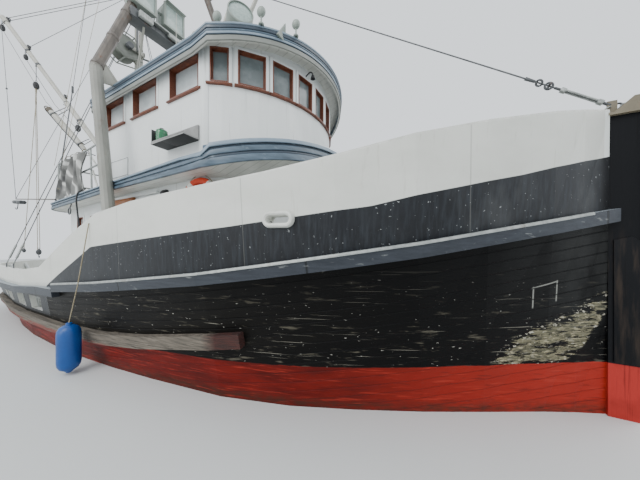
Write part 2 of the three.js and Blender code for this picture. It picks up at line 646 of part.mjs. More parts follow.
const crossbeam = block(x(8180) - CROSSBEAM.wide / 2, x(8180) + CROSSBEAM.wide / 2, -1710, 1710,
  CROSSBEAM.z - CROSSBEAM.deep / 2, CROSSBEAM.z + CROSSBEAM.deep / 2);
addNode('gantry_crossbeam', cut(crossbeam, ...legCuts), FINISH.darkSteel);
addNode('gantry_top_beam', block(x(8700) - TOP_BEAM.wide / 2, x(8700) + TOP_BEAM.wide / 2, -850, 850, TOP_BEAM.z,
  TOP_BEAM.z + TOP_BEAM.deep), FINISH.darkSteel);

// Mast on the working deck, with lugs for the boom, and a strut to the gantry
const MAST = { aft: 11300, radius: 145, topRadius: 115, topZ: 11200 };
const SWING_AFT = 330;
const GOOSENECK_Z = 4280;
const LUG = { half: 60, thick: 25, reach: 60, spread: 95 };
const mastX = x(MAST.aft);
const swingX = mastX - SWING_AFT;
const mastTube = bar([mastX, 0, WORKING_DECK_Z + GAP], [mastX, 0, MAST.topZ], MAST.radius, MAST.topRadius, 24);
const mastLugs = [GOOSENECK_Z - LUG.spread - LUG.thick, GOOSENECK_Z + LUG.spread].map((low) =>
  block(swingX - LUG.reach, mastX - 100, -LUG.half, LUG.half, low, low + LUG.thick));
const headArm = block(swingX - 60, mastX - 60, -40, 40, MAST.topZ - 260, MAST.topZ - 180);
const mastFoot = bar([mastX, 0, WORKING_DECK_Z + GAP], [mastX, 0, WORKING_DECK_Z + 60], 240, 240, 24);
const CROSSTREE = { z: 10620, half: 1300, radius: 35, strutOut: 850, strutFootZ: 10150 };
const crosstree = [bar([mastX, -CROSSTREE.half, CROSSTREE.z], [mastX, CROSSTREE.half, CROSSTREE.z], CROSSTREE.radius)]
  .concat(SIDES.map(([, sign]) => bar([mastX, sign * CROSSTREE.strutOut, CROSSTREE.z],
    [mastX, sign * 90, CROSSTREE.strutFootZ], 18, 18, 10)));
addNode('mast', join(mastTube, mastFoot, headArm, ...mastLugs, ...crosstree), FINISH.steel);
const strutZ = TOP_BEAM.z + 90;
const strutFrom = [x(8700) - TOP_BEAM.wide / 2 - 2, 0, strutZ];
const mastCut = bar([mastX, 0, WORKING_DECK_Z + GAP], [mastX, 0, MAST.topZ], MAST.radius + GAP, MAST.topRadius + GAP, 24);
const beamCut = block(x(8700) - TOP_BEAM.wide / 2 - GAP, x(8700) + 200, -300, 300, strutZ - 300, strutZ + 300);
addNode('mast_strut', cut(bar([strutFrom[0] + 60, 0, strutZ], [mastX, 0, strutZ + 220], 55), mastCut, beamCut),
  FINISH.steel);

// Hauling reel on a bracket at the mast's starboard side
const REEL = { fore: 300, y: -550, z: 8520, barrel: 160, flange: 340, half: 195, thick: 30 };
const reelBar = (from, to, radius, sides = 24) => bar([mastX + REEL.fore + from, REEL.y, REEL.z],
  [mastX + REEL.fore + to, REEL.y, REEL.z], radius, radius, sides);
const reelArms = [REEL.half + 90, -REEL.half - 110].map((from) => block(mastX + REEL.fore + from,
  mastX + REEL.fore + from + 20, REEL.y - 70, -100, REEL.z - 60, REEL.z + 60));
const reelBack = block(mastX + REEL.fore - REEL.half - 110, mastX + REEL.fore + REEL.half + 110, -145, -112,
  REEL.z - 80, REEL.z + 80);
const reel = join(reelBar(-REEL.half - 1, REEL.half + 1, REEL.barrel), reelBar(-REEL.half - REEL.thick, -REEL.half, REEL.flange),
  reelBar(REEL.half, REEL.half + REEL.thick, REEL.flange), reelBar(-330, 330, 55, 16), reelBar(REEL.half + 109, 400, 95, 16),
  ...reelArms, reelBack);
addNode('hauling_reel', cut(reel, mastCut), FINISH.lampHousing);

// Shrouds from a collar on the mast to plates on the bulwark tops
const SHROUD = { radius: 10, collarZ: 10050, collarRadius: 152, plateHigh: 140, plateHalf: 30 };
const SHROUD_FEET = [
  // aft, half-breadth, z of the bulwark top
  [12450, 2643, 1580],
  [11650, 2674, 1584],
];
const shroudParts = SIDES.flatMap(([, sign]) => SHROUD_FEET.flatMap(([aft, half, topZ]) => [
  bar([mastX, sign * 137, SHROUD.collarZ], [x(aft), sign * half, topZ + SHROUD.plateHigh - 20], SHROUD.radius,
    SHROUD.radius, 8),
  block(x(aft) - SHROUD.plateHalf, x(aft) + SHROUD.plateHalf, sign * half - 8, sign * half + 8, topZ + 2 * GAP,
    topZ + SHROUD.plateHigh),
]));
const collar = bar([mastX, 0, SHROUD.collarZ - 30], [mastX, 0, SHROUD.collarZ + 30], SHROUD.collarRadius,
  SHROUD.collarRadius, 24);
addNode('shrouds', join(cut(collar, mastCut), ...shroudParts), FINISH.galvanised);

// Boom and its gooseneck, turned to starboard and raised as it hangs
const BOOM = { swing: 38.8, raise: 55.9, pinOut: 150, length: 6450, heavy: 80, light: 62, changeAt: 3300 };
const boomTurn = new THREE.Group();
boomTurn.position.set(swingX, 0, GOOSENECK_Z);
boomTurn.rotation.z = THREE.MathUtils.degToRad(180 + BOOM.swing);
vessel.add(boomTurn);
const CHEEK = { gap: 36, thick: 14, radius: 60 };
const barrel = bar([0, 0, -LUG.spread + RUNNING_GAP], [0, 0, LUG.spread - RUNNING_GAP], 50, 50, 20);
const HEEL_PIN = { radius: 20.4, hole: 21.2 };
const heelPin = bar([BOOM.pinOut, -CHEEK.gap - 2, 0], [BOOM.pinOut, CHEEK.gap + 2, 0], HEEL_PIN.radius, HEEL_PIN.radius, 24);
const cheekWeb = block(30, 78, -CHEEK.gap - CHEEK.thick, CHEEK.gap + CHEEK.thick, -60, 60);
const cheeks = [-1, 1].map((sign) => block(60, BOOM.pinOut + CHEEK.radius, Math.min(sign * CHEEK.gap,
  sign * (CHEEK.gap + CHEEK.thick)), Math.max(sign * CHEEK.gap, sign * (CHEEK.gap + CHEEK.thick)), -60, 60));
addNode('boom_gooseneck', join(barrel, cheekWeb, ...cheeks, heelPin), FINISH.darkSteel, boomTurn);
const boomRaise = new THREE.Group();
boomRaise.position.set(BOOM.pinOut, 0, 0);
boomRaise.rotation.y = -THREE.MathUtils.degToRad(BOOM.raise);
boomTurn.add(boomRaise);
const heel = block(-45, 260, -30, 30, -40, 40);
const boomBody = join(heel, bar([130, 0, 0], [BOOM.changeAt, 0, 0], BOOM.heavy, BOOM.heavy, 20),
  bar([BOOM.changeAt - 1, 0, 0], [BOOM.length, 0, 0], BOOM.light, BOOM.light, 20),
  bar([BOOM.length - 220, 0, 0], [BOOM.length - 60, 0, 0], BOOM.light + 16, BOOM.light + 16, 20));
const pinHole = bar([0, -60, 0], [0, 60, 0], HEEL_PIN.hole, HEEL_PIN.hole, 24);
addNode('boom', cut(boomBody, pinHole), FINISH.steel, boomRaise);

// Floodlights on the crossbeam
const FLOODLIGHTS = [-1440, -745, 745, 1440];
FLOODLIGHTS.forEach((y, index) => {
  const beamTop = CROSSBEAM.z + CROSSBEAM.deep / 2 + GAP;
  const centre = x(8180);
  const bracket = block(centre - 40, centre + 40, y - 40, y + 40, beamTop, beamTop + 260);
  const housing = block(centre - 190, centre + 190, y - 270, y + 270, beamTop + 220, beamTop + 700);
  const outer = Math.abs(y) > 1000;
  const lamp = join(bracket, housing.translate([0, 0, outer ? -80 : 60]), block(centre - 30, centre + 30, y - 30,
    y + 30, beamTop + 100, beamTop + 400));
  addNode(`floodlight_${index + 1}`, cut(lamp, ...legCuts), FINISH.lampHousing);
});

// Exhaust stack, guardrail, sidelights and lifebuoy on the houses
const STACK = { aft: 10000, y: 900, radius: 110, topZ: 6300 };
const deckCut = sidePlate([...levelLine('deckTop', GAP), ...levelLine('deckUnder', 0).reverse()], -3000, 3000);
const stackBase = boatDeckTop(STACK.aft) - 30;
const stackPipe = bar([x(STACK.aft), STACK.y, stackBase], [x(STACK.aft), STACK.y, STACK.topZ], STACK.radius);
const stackFoot = bar([x(STACK.aft), STACK.y, stackBase], [x(STACK.aft), STACK.y, stackBase + 500], 190);
addNode('exhaust_stack', cut(join(stackPipe, stackFoot), deckCut), FINISH.steel);

const RAIL = { topZ: 4260, midZ: 3830, radius: 21, inset: 90, fromAft: 9350 };
const railY = BOAT_DECK.half - RAIL.inset;
const railEnd = BOAT_DECK.endAft - RAIL.inset;
const railPlan = [
  [RAIL.fromAft, -railY], [railEnd - 360, -railY], [railEnd - 105, -railY + 105], [railEnd, -railY + 360],
  [railEnd, railY - 360], [railEnd - 105, railY - 105], [railEnd - 360, railY], [RAIL.fromAft, railY],
];
const railAt = (z) => pipe(railPlan.map(([aft, y]) => [x(aft), y, z]), RAIL.radius, 6);
const posts = [[RAIL.fromAft, -railY], [railEnd - 360, -railY], [railEnd, -railY + 360], [railEnd, -600], [railEnd, 600],
  [railEnd, railY - 360], [railEnd - 360, railY], [RAIL.fromAft, railY]].map(([aft, y]) =>
  bar([x(aft), y, boatDeckTop(aft) - 20], [x(aft), y, RAIL.topZ], RAIL.radius, RAIL.radius, 6));
addNode('boat_deck_rail', cut(join(railAt(RAIL.topZ), railAt(RAIL.midZ), ...posts), deckCut), FINISH.galvanised);

const SIDELIGHT = { fromAft: 5400, toAft: 6300, lowZ: 3900, highZ: 4140, out: 280 };
for (const [side, sign] of SIDES) {
  const wallY = HOUSE_HALF + GAP;
  const screenLow = sign > 0 ? wallY : -wallY - 40;
  const screen = block(x(SIDELIGHT.toAft), x(SIDELIGHT.fromAft), screenLow, screenLow + 40, SIDELIGHT.lowZ, SIDELIGHT.highZ);
  const shelf = block(x(SIDELIGHT.toAft), x(SIDELIGHT.toAft) + 320, sign > 0 ? wallY : -wallY - SIDELIGHT.out,
    sign > 0 ? wallY + SIDELIGHT.out : -wallY, SIDELIGHT.lowZ, SIDELIGHT.lowZ + 30);
  const lamp = bar([x(SIDELIGHT.toAft) + 150, sign * (wallY + 180), SIDELIGHT.lowZ + 20],
    [x(SIDELIGHT.toAft) + 150, sign * (wallY + 180), SIDELIGHT.lowZ + 230], 85);
  addNode(`sidelight_${side}`, join(screen, shelf, lamp), FINISH.darkSteel);
}

// The lifebuoy hangs across the starboard corner of the lower house, its back to the corner
const BUOY = { z: 2965, ring: 245, radius: 55, facing: -75 };
const cornerX = x(FRONT_CENTRE_AFT) + Math.sqrt(FRONT_RADIUS ** 2 - HOUSE_HALF ** 2);
const buoyTurn = THREE.MathUtils.degToRad(BUOY.facing);
const buoyOut = BUOY.radius + RUNNING_GAP;
const buoyRing = new THREE.TorusGeometry(BUOY.ring, BUOY.radius, 8, 20).rotateY(Math.PI / 2).rotateZ(buoyTurn);
addNode('lifebuoy', toSolid(buoyRing.translate(cornerX + buoyOut * Math.cos(buoyTurn),
  -HOUSE_HALF + buoyOut * Math.sin(buoyTurn), BUOY.z)), FINISH.orange);

// Foredeck: bow roller, anchor and windlass
const ROLLER = { fromX: 8150, toX: 9150, half: 170, z: STEM_HEAD_Z + GAP, thick: 30, cheek: 190 };
const rollerBase = block(ROLLER.fromX + 400, ROLLER.toX - 150, -ROLLER.half, ROLLER.half, ROLLER.z, ROLLER.z + ROLLER.thick);
const rollerCheeks = [-1, 1].map((sign) => sidePlate([
  [ROLLER.fromX + 450, ROLLER.z], [ROLLER.toX - 20, ROLLER.z], [ROLLER.toX, ROLLER.z + 60],
  [ROLLER.toX - 60, ROLLER.z + ROLLER.cheek], [ROLLER.fromX + 650, ROLLER.z + ROLLER.cheek],
], Math.min(sign * ROLLER.half, sign * (ROLLER.half - 20)), Math.max(sign * ROLLER.half, sign * (ROLLER.half - 20))));
const rollerPin = bar([ROLLER.toX - 60, -ROLLER.half + 5, ROLLER.z + 70], [ROLLER.toX - 60, ROLLER.half - 5,
  ROLLER.z + 70], 45);
const stemheadBulwark = join(...SIDES.map(([, sign]) => bulwark(0, BREAK_FORE, sign, GAP)));
const STAY_EYE = { x: 8680, topZ: 4040 };
const stayEye = block(STAY_EYE.x - 45, STAY_EYE.x + 45, -12, 12, ROLLER.z, STAY_EYE.topZ);
addNode('bow_roller', cut(join(rollerBase, ...rollerCheeks, rollerPin, stayEye), stemheadBulwark), FINISH.darkSteel);

const anchorGroup = new THREE.Group();
anchorGroup.position.set(ROLLER.toX - 60, 0, ROLLER.z + 70 + 45 + 32 + GAP);
vessel.add(anchorGroup);
const shank = block(-330, 560, -26, 26, -32, 32);
const crown = block(470, 600, -190, 190, -70, 70);
const flukes = [-1, 1].map((sign) => sidePlate([[540, -60], [600, 60], [180, -330], [120, -380], [330, -270]],
  sign > 0 ? 60 : -180, sign > 0 ? 180 : -60));
addNode('anchor', join(shank, crown, ...flukes), FINISH.galvanised, anchorGroup);

const WINDLASS = { aft: 2500, half: 330, height: 620, drum: 150 };
const windlassDeck = deckZ(2100) + 12;
const windlassX = x(WINDLASS.aft);
const windlassAxis = windlassDeck + 430;
const windlassCheek = (sign) => sidePlate([[windlassX - 260, windlassDeck - 100], [windlassX + 260, windlassDeck - 100],
  [windlassX + 90, windlassAxis + 110], [windlassX - 90, windlassAxis + 110]],
sign * 260 - 20, sign * 260 + 20);
const windlassBase = block(windlassX - 300, windlassX + 300, -300, 300, windlassDeck - 100, windlassDeck + 40);
const windlassHole = bar([windlassX, -400, windlassAxis], [windlassX, 400, windlassAxis], 41.2, 41.2, 24);
addNode('windlass_frame', cut(join(windlassBase, windlassCheek(-1), windlassCheek(1)), hullCut, windlassHole),
  FINISH.darkSteel);
addNode('windlass_drum', turned([[0, -480], [90, -480], [70, -330], [40, -320], [40, -232], [150, -228], [150, -200],
  [95, -170], [95, 170], [150, 200], [150, 228], [40, 232], [40, 320], [70, 330], [90, 480], [0, 480]],
[windlassX, 0, windlassAxis], [0, 1, 0]), FINISH.galvanised);

// Working deck: winch, hatch and mooring bitts
const WINCH = { aft: 12700, axis: 520, cheekAt: 420 };
const winchX = x(WINCH.aft);
const winchAxis = WORKING_DECK_Z + WINCH.axis;
const winchCheek = (sign) => sidePlate([[winchX - 300, WORKING_DECK_Z + GAP], [winchX + 300, WORKING_DECK_Z + GAP],
  [winchX + 120, winchAxis + 130], [winchX - 120, winchAxis + 130]],
sign * WINCH.cheekAt - 25, sign * WINCH.cheekAt + 25);
const winchBase = block(winchX - 320, winchX + 320, -WINCH.cheekAt - 30, WINCH.cheekAt + 30, WORKING_DECK_Z + GAP,
  WORKING_DECK_Z + 60);
const winchHole = bar([winchX, -600, winchAxis], [winchX, 600, winchAxis], 51.2, 51.2, 24);
addNode('deck_winch_frame', cut(join(winchBase, winchCheek(-1), winchCheek(1)), winchHole), FINISH.darkSteel);
addNode('deck_winch_drum', turned([[0, -760], [170, -760], [120, -640], [130, -520], [50, -500], [50, -388], [260, -385],
  [260, -360], [110, -355], [110, 355], [260, 360], [260, 385], [50, 388], [50, 500], [130, 520], [120, 640],
  [170, 760], [0, 760]], [winchX, 0, winchAxis], [0, 1, 0], 18), FINISH.galvanised);

const HATCH = { aft: 14300, half: 750, height: 320, wall: 70, cover: 70 };
const hatchX = x(HATCH.aft);
const coamingTop = WORKING_DECK_Z + HATCH.height;
addNode('hatch_coaming', cut(block(hatchX - HATCH.half, hatchX + HATCH.half, -HATCH.half, HATCH.half,
  WORKING_DECK_Z + GAP, coamingTop), block(hatchX - HATCH.half + HATCH.wall, hatchX + HATCH.half - HATCH.wall,
  -HATCH.half + HATCH.wall, HATCH.half - HATCH.wall, WORKING_DECK_Z - 50, coamingTop + 50)), FINISH.wall);
addNode('hatch_cover', block(hatchX - HATCH.half - 20, hatchX + HATCH.half + 20, -HATCH.half - 20, HATCH.half + 20,
  coamingTop + GAP, coamingTop + HATCH.cover), FINISH.deck);

const BITT = { aft: 15600, y: 1500, radius: 85, height: 560, spread: 190 };
for (const [side, sign] of SIDES) {
  const base = block(x(BITT.aft) - 330, x(BITT.aft) + 330, sign * BITT.y - 120, sign * BITT.y + 120,
    WORKING_DECK_Z + GAP, WORKING_DECK_Z + 45);
  const bollards = [-1, 1].map((place) => bar([x(BITT.aft) + place * BITT.spread, sign * BITT.y, WORKING_DECK_Z + 30],
    [x(BITT.aft) + place * BITT.spread, sign * BITT.y, WORKING_DECK_Z + BITT.height], BITT.radius));
  addNode(`mooring_bitts_${side}`, join(base, ...bollards), FINISH.darkSteel);
}

// Propeller and rudder in the aperture
const PROP_RADIUS = 440;
const hub = turned([[0, -HUB_FORE], [75, 10 - HUB_FORE], [90, 0], [75, 90], [0, 105]], [0, 0, 0], [-1, 0, 0], 16);
const blades = [0, 1, 2, 3].map((which) => {
  const geometry = new THREE.SphereGeometry(1, 10, 6);
  geometry.scale(14, 120, PROP_RADIUS / 2);
  geometry.translate(0, 0, PROP_RADIUS / 2 - 4).rotateZ(0.6);
  geometry.rotateX((which * Math.PI) / 2);
  return toSolid(geometry);
});
const propeller = addNode('propeller', join(hub, ...blades), FINISH.bronze);
propeller.position.set(x(PROP_AFT), 0, SHAFT_Z);

const RUDDER = { aft: 15100, stock: 45, fore: 130, chord: 850, topZ: -700, lowZ: -1985 };
const rudderX = x(RUDDER.aft);
const blade = sidePlate([[rudderX + RUDDER.fore, RUDDER.topZ - 330], [rudderX + RUDDER.fore, RUDDER.lowZ],
  [rudderX - RUDDER.chord + 120, RUDDER.lowZ], [rudderX - RUDDER.chord, RUDDER.topZ - 500],
  [rudderX - RUDDER.chord + 150, RUDDER.topZ - 60], [rudderX - 200, RUDDER.topZ - 200]], -38, 38);
const stockTop = counterZ(RUDDER.aft - RUDDER.stock) - 2 * GAP;
const stock = bar([rudderX, 0, SHOE_TOP_Z + 2 * GAP], [rudderX, 0, stockTop], RUDDER.stock);
addNode('rudder', join(blade, stock), FINISH.bottomRed);

// Forestay from the gantry to the stemhead
const stayTop = [x(8700), 0, TOP_BEAM.z + 90];
const stayFoot = [STAY_EYE.x, 0, STAY_EYE.topZ - 60];
const eyeTop = block(STAY_EYE.x - 200, STAY_EYE.x + 200, -100, 100, STAY_EYE.topZ - 300, STAY_EYE.topZ + GAP);
addNode('forestay', cut(bar(stayTop, stayFoot, 11, 11, 8), eyeTop, topBeamCut), FINISH.galvanised);

// Fender that hangs on a rope from the starboard bulwark
const FENDER = { aft: 7490, half: 2860, radius: 155, lowZ: 30, highZ: 870 };
const fenderX = x(FENDER.aft);
addNode('fender', turned([[0, FENDER.lowZ], [90, FENDER.lowZ + 30], [FENDER.radius, FENDER.lowZ + 190],
  [FENDER.radius, FENDER.highZ - 190], [90, FENDER.highZ - 30], [0, FENDER.highZ]], [fenderX, -FENDER.half, 0],
[0, 0, 1]), FINISH.fenderBlue);
const ROPE_RADIUS = 8;
const ropeHigh = { aft: 7300, z: 2560 };
const ropePath = [
  [x(ropeHigh.aft), -halfBreadth(ropeHigh.aft, ropeHigh.z) - RUNNING_GAP - ROPE_RADIUS, ropeHigh.z],
  [x(7330), -2800, 1520],
  [fenderX, -FENDER.half, FENDER.highZ + GAP],
];
addNode('fender_rope', pipe(ropePath, ROPE_RADIUS, 8), FINISH.rope);

export default vessel;
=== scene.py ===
import math

import bmesh
import bpy
from mathutils import Matrix, Vector
from mathutils.bvhtree import BVHTree


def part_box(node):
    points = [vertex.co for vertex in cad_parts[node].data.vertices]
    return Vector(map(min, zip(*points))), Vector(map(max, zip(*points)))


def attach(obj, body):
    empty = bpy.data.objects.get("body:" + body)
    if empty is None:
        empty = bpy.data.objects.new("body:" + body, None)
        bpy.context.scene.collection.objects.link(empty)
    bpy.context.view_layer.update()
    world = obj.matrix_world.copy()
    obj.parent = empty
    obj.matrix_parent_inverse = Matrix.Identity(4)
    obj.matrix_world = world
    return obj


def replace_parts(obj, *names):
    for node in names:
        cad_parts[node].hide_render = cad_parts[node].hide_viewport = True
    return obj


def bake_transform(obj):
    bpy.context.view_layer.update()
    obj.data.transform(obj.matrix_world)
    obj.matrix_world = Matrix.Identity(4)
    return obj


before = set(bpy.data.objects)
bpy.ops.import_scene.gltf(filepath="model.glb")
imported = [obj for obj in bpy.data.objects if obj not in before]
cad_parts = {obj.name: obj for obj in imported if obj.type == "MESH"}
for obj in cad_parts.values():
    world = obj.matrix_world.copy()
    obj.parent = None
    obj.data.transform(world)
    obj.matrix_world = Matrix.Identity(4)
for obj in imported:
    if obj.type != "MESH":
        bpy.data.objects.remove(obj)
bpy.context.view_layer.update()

bpy.ops.object.select_all(action="DESELECT")

# Places repeated from the part's source, in metres
STEM_X = 8.6
HOUSE_HALF = 1.92
FRONT_RADIUS = 2.2
FRONT_CENTRE_X = STEM_X - 6.4
HOUSE_CORNER_X = FRONT_CENTRE_X + math.sqrt(FRONT_RADIUS ** 2 - HOUSE_HALF ** 2)
DECK_TOP, DECK_UNDER, ROOF_TOP = 1, 2, 3  # columns of the levels
LEVELS = (
    # x, boat deck top, boat deck underside, roof top
    (5.6, 4.170, 3.862, 6.046),
    (3.701, 3.600, 3.292, 5.551),
    (3.7, 3.508, 3.291, 5.550),
    (3.2, 3.485, 3.282, 5.470),
    (1.1, 3.389, 3.249, 5.470),
    (-2.9, 3.207, 3.067, 5.470),
)
SWING_X = -3.03
BOOM_HEEL = Vector((-3.1469, -0.09399, 4.28))
BOOM_SWING = math.radians(218.8)
BOOM_RAISE = math.radians(55.9)
MASTHEAD = Vector((SWING_X, 0.0, 11.12))


def level(column, x):
    """The height of a deck or roof line at a place along the boat."""
    if x >= LEVELS[0][0]:
        return LEVELS[0][column]
    for fore, aft in zip(LEVELS, LEVELS[1:]):
        if x >= aft[0]:
            share = (fore[0] - x) / (fore[0] - aft[0])
            return fore[column] + share * (aft[column] - fore[column])
    return LEVELS[-1][column]


def deck_top(x):
    return level(DECK_TOP, x)


def roof_top(x):
    return level(ROOF_TOP, x)


# Camera, at the height of a person on a floating dock, looking level
CAMERA_PLACE = (6.762, -4.504, 2.15)
CAMERA_HEADING = math.radians(27.5)
LENS, SENSOR = 13.5, 36
HORIZON_SHIFT = 7 / 640
SEES_TO = 400
bpy.ops.object.camera_add(location=CAMERA_PLACE, rotation=(math.radians(90), 0, CAMERA_HEADING))
camera = bpy.context.object
camera.data.lens = LENS
camera.data.sensor_width = SENSOR
camera.data.shift_y = HORIZON_SHIFT
camera.data.clip_end = SEES_TO
bpy.context.scene.camera = camera

# Light: an even sky and large soft lamps, each with its place, the point that it looks at, its width and its power
SKY_COLOUR, SKY_STRENGTH = (0.80, 0.84, 0.88, 1), 1.58
SOFT_LAMPS = (
    ((2, -16, 17), (0, 0, 2), 14, 2200),
    ((18, 6, 14), (2, 0, 2), 12, 1000),
    ((-14, 12, 16), (-2, 0, 2), 12, 1000),
    ((-3, -22, 8), (0, 0, 4.5), 12, 900),
)
world = bpy.data.worlds.new("overcast")
bpy.context.scene.world = world
world.use_nodes = True
sky = world.node_tree.nodes["Background"].inputs
sky["Color"].default_value = SKY_COLOUR
sky["Strength"].default_value = SKY_STRENGTH
for place, aim, width, power in SOFT_LAMPS:
    turn = (Vector(aim) - Vector(place)).to_track_quat("-Z", "Y").to_euler()
    bpy.ops.object.light_add(type="AREA", location=place, rotation=turn)
    lamp = bpy.context.object.data
    lamp.shape, lamp.size, lamp.energy = "DISK", width, power


# Shader maths written as expressions on sockets
class Value:
    """One output of a node, with the arithmetic of plain numbers."""

    def __init__(self, finish, socket):
        self.finish = finish
        self.socket = socket

    def maths(self, operation, first, second=None, clamp=False):
        settings = {"operation": operation, "use_clamp": clamp}
        return self.finish.node("ShaderNodeMath", settings, {0: first, 1: second})

    def __add__(self, other):
        return self.maths("ADD", self, other)

    def __sub__(self, other):
        return self.maths("SUBTRACT", self, other)

    def __rsub__(self, other):
        return self.maths("SUBTRACT", other, self)

    def __mul__(self, other):
        return self.maths("MULTIPLY", self, other)

    def __truediv__(self, other):
        return self.maths("DIVIDE", self, other)

    def __pow__(self, other):
        return self.maths("POWER", self, other)

    __radd__ = __add__
    __rmul__ = __mul__

    def fract(self):
        return self.maths("FRACT", self)

    def size(self):
        return self.maths("ABSOLUTE", self)

    def at_least(self, other):
        return self.maths("MAXIMUM", self, other)

    def at_most(self, other):
        return self.maths("MINIMUM", self, other)

    def above(self, edge, soft=0.002):
        """1 above an edge and 0 below it, softened over a width."""
        return self.ramp(edge, soft)

    def ramp(self, edge, soft):
        shifted = (self - edge) / (2 * soft) + 0.5
        return shifted.maths("MULTIPLY", shifted, 1.0, True)

    def below(self, edge, soft=0.002):
        return 1 - self.above(edge, soft)

    def line(self, width, soft=0.3):
        """1 where the value is near zero, fading out at a width."""
        return self.size().below(width, width * soft)


def linear(code):
    """The linear colour of a six-digit screen colour."""
    channels = [int(code[i:i + 2], 16) / 255 for i in (0, 2, 4)]
    return [c / 12.92 if c <= 0.04045 else ((c + 0.055) / 1.055) ** 2.4 for c in channels] + [1.0]


class Finish:
    """A material whose colour, gloss and relief are worked out from the place on the object."""

    def __init__(self, name, slot, roughness=0.5, metallic=0.0, specular=None):
        self.slot = slot
        self.material = bpy.data.materials.new(name)
        self.material.use_nodes = True
        self.tree = self.material.node_tree
        self.shader = self.tree.nodes["Principled BSDF"]
        self.shader.inputs["Roughness"].default_value = roughness
        self.shader.inputs["Metallic"].default_value = metallic
        if specular is not None:
            self.shader.inputs["Specular IOR Level"].default_value = specular
        self.place = self.node("ShaderNodeTexCoord", output="Object")
        self.relief = None

    def node(self, kind, settings=None, values=None, output=0):
        """Any node: its settings first, then the values or links of its sockets."""
        made = self.tree.nodes.new(kind)
        for key, setting in (settings or {}).items():
            if key == "stops":
                self.set_stops(made.color_ramp, setting)
            else:
                setattr(made, key, setting)
        for key, value in (values or {}).items():
            if isinstance(value, Value):
                self.tree.links.new(value.socket, made.inputs[key])
            elif value is not None:
                made.inputs[key].default_value = value
        return Value(self, made.outputs[output])

    @staticmethod
    def set_stops(ramp, stops):
        while len(ramp.elements) < len(stops):
            ramp.elements.new(1.0)
        for element, (position, colour) in zip(ramp.elements, stops):
            element.position = position
            element.color = colour if len(colour) == 4 else (*colour, 1)

    def axis(self, name):
        return self.node("ShaderNodeSeparateXYZ", values={0: self.place}, output=name)

    def facing(self, name):
        """How far the surface faces along an axis, from -1 to 1."""
        normal = self.node("ShaderNodeNewGeometry", output="Normal")
        return self.node("ShaderNodeSeparateXYZ", values={0: normal}, output=name)

    def stretched(self, stretch):
        return self.node("ShaderNodeVectorMath", {"operation": "MULTIPLY"}, {0: self.place, 1: stretch})

    def noise(self, scale, stretch=(1, 1, 1), detail=4.0, rough=0.6):
        values = {"Vector": self.stretched(stretch), "Scale": scale, "Detail": detail, "Roughness": rough}
        return self.node("ShaderNodeTexNoise", values=values)

    def patches(self, scale, low, high, stretch=(1, 1, 1), detail=4.0):
        """Cloudy patches, 0 below the low level and 1 above the high one."""
        return self.noise(scale, stretch, detail).ramp((low + high) / 2, (high - low) / 2)

    def curve(self, along, start, end, top, points):
        """A value that follows measured points (place, value), with straight lines between them."""
        share = (along - start) / (end - start)
        stops = [((place - start) / (end - start), [value / top] * 3) for place, value in points]
        graph = self.node("ShaderNodeValToRGB", {"stops": stops}, {0: share})
        return self.node("ShaderNodeSeparateColor", values={0: graph}) * top

    def blend(self, mask, base, over):
        """A colour laid over another where the mask is 1."""
        base = linear(base) if isinstance(base, str) else base
        over = linear(over) if isinstance(over, str) else over
        return self.node("ShaderNodeMix", {"data_type": "RGBA"}, {0: mask, 6: base, 7: over}, output=2)

    def colour(self, value):
        if isinstance(value, str):
            self.shader.inputs["Base Color"].default_value = linear(value)
        else:
            self.tree.links.new(value.socket, self.shader.inputs["Base Color"])
        return self

    def gloss(self, value):
        self.tree.links.new(value.socket, self.shader.inputs["Roughness"])
        return self

    def bump(self, height, depth):
        """Relief of a depth in metres, added to any that is there."""
        values = {"Strength": 1.0, "Distance": depth, "Height": height}
        if self.relief:
            values["Normal"] = self.relief
        self.relief = self.node("ShaderNodeBump", values=values)
        self.tree.links.new(self.relief.socket, self.shader.inputs["Normal"])
        return self


# Widths of planks and boards, lengths of sheets and timbers, and the widths of the seams between them
PLANK, PLANK_SEAM = 0.135, 0.007
DECK_BOARD, SOFFIT_BOARD, BOARD_SEAM = 0.12, 0.14, 0.006
BULWARK_SHEET = 2.44
GUARD_LENGTH, SCARF_SEAM = 3.1, 0.012
# Lines of the hull that several paints follow, by place aft of the stem
RAIL_RISE = 1.33
RAIL_FLAT_X = -3.6
RAIL_POWER = 1.885
WHITE_EDGE = (
    (0.0, 3.29), (1.07, 2.96), (1.69, 2.80), (2.55, 2.59), (3.58, 2.47), (4.28, 2.40), (5.8, 2.275),
    (7.3, 2.15), (9.14, 1.36), (9.5, 1.2), (18.0, 1.2),
)
BOOT_EDGE = ((-1.0, 0.68), (2.0, 0.66), (6.0, 0.53), (12.0, 0.47), (18.0, 0.5))
FADED_AFT = ((0, 0.05), (2.2, 0.1), (4.5, 0.45), (8, 0.75), (12, 0.9), (18, 0.9))
# The bare patch at the bow, by place along the boat: its top and its foot
BARE_TOP = ((7.2, 0.70), (7.45, 0.92), (7.65, 1.12), (8.1, 1.30), (8.54, 1.56), (8.7, 1.6))
BARE_FOOT = ((7.2, 0.62), (8.1, 0.64), (8.3, 0.84), (8.54, 1.22), (8.7, 1.5))


def sheer(finish):
    """Height over the line that the planks run along."""
    ahead = ((finish.axis("X") - RAIL_FLAT_X) / (STEM_X - RAIL_FLAT_X)).at_least(0.0)
    return finish.axis("Z") - (ahead ** RAIL_POWER * RAIL_RISE + 1.3)


def aft_of_stem(finish):
    return STEM_X - finish.axis("X")


def planks(along, pitch, width):
    """Seams between planks: 1 in each seam."""
    return ((along / pitch).fract() - 0.5).size().above(0.5 - width / pitch, 0.35 * width / pitch)


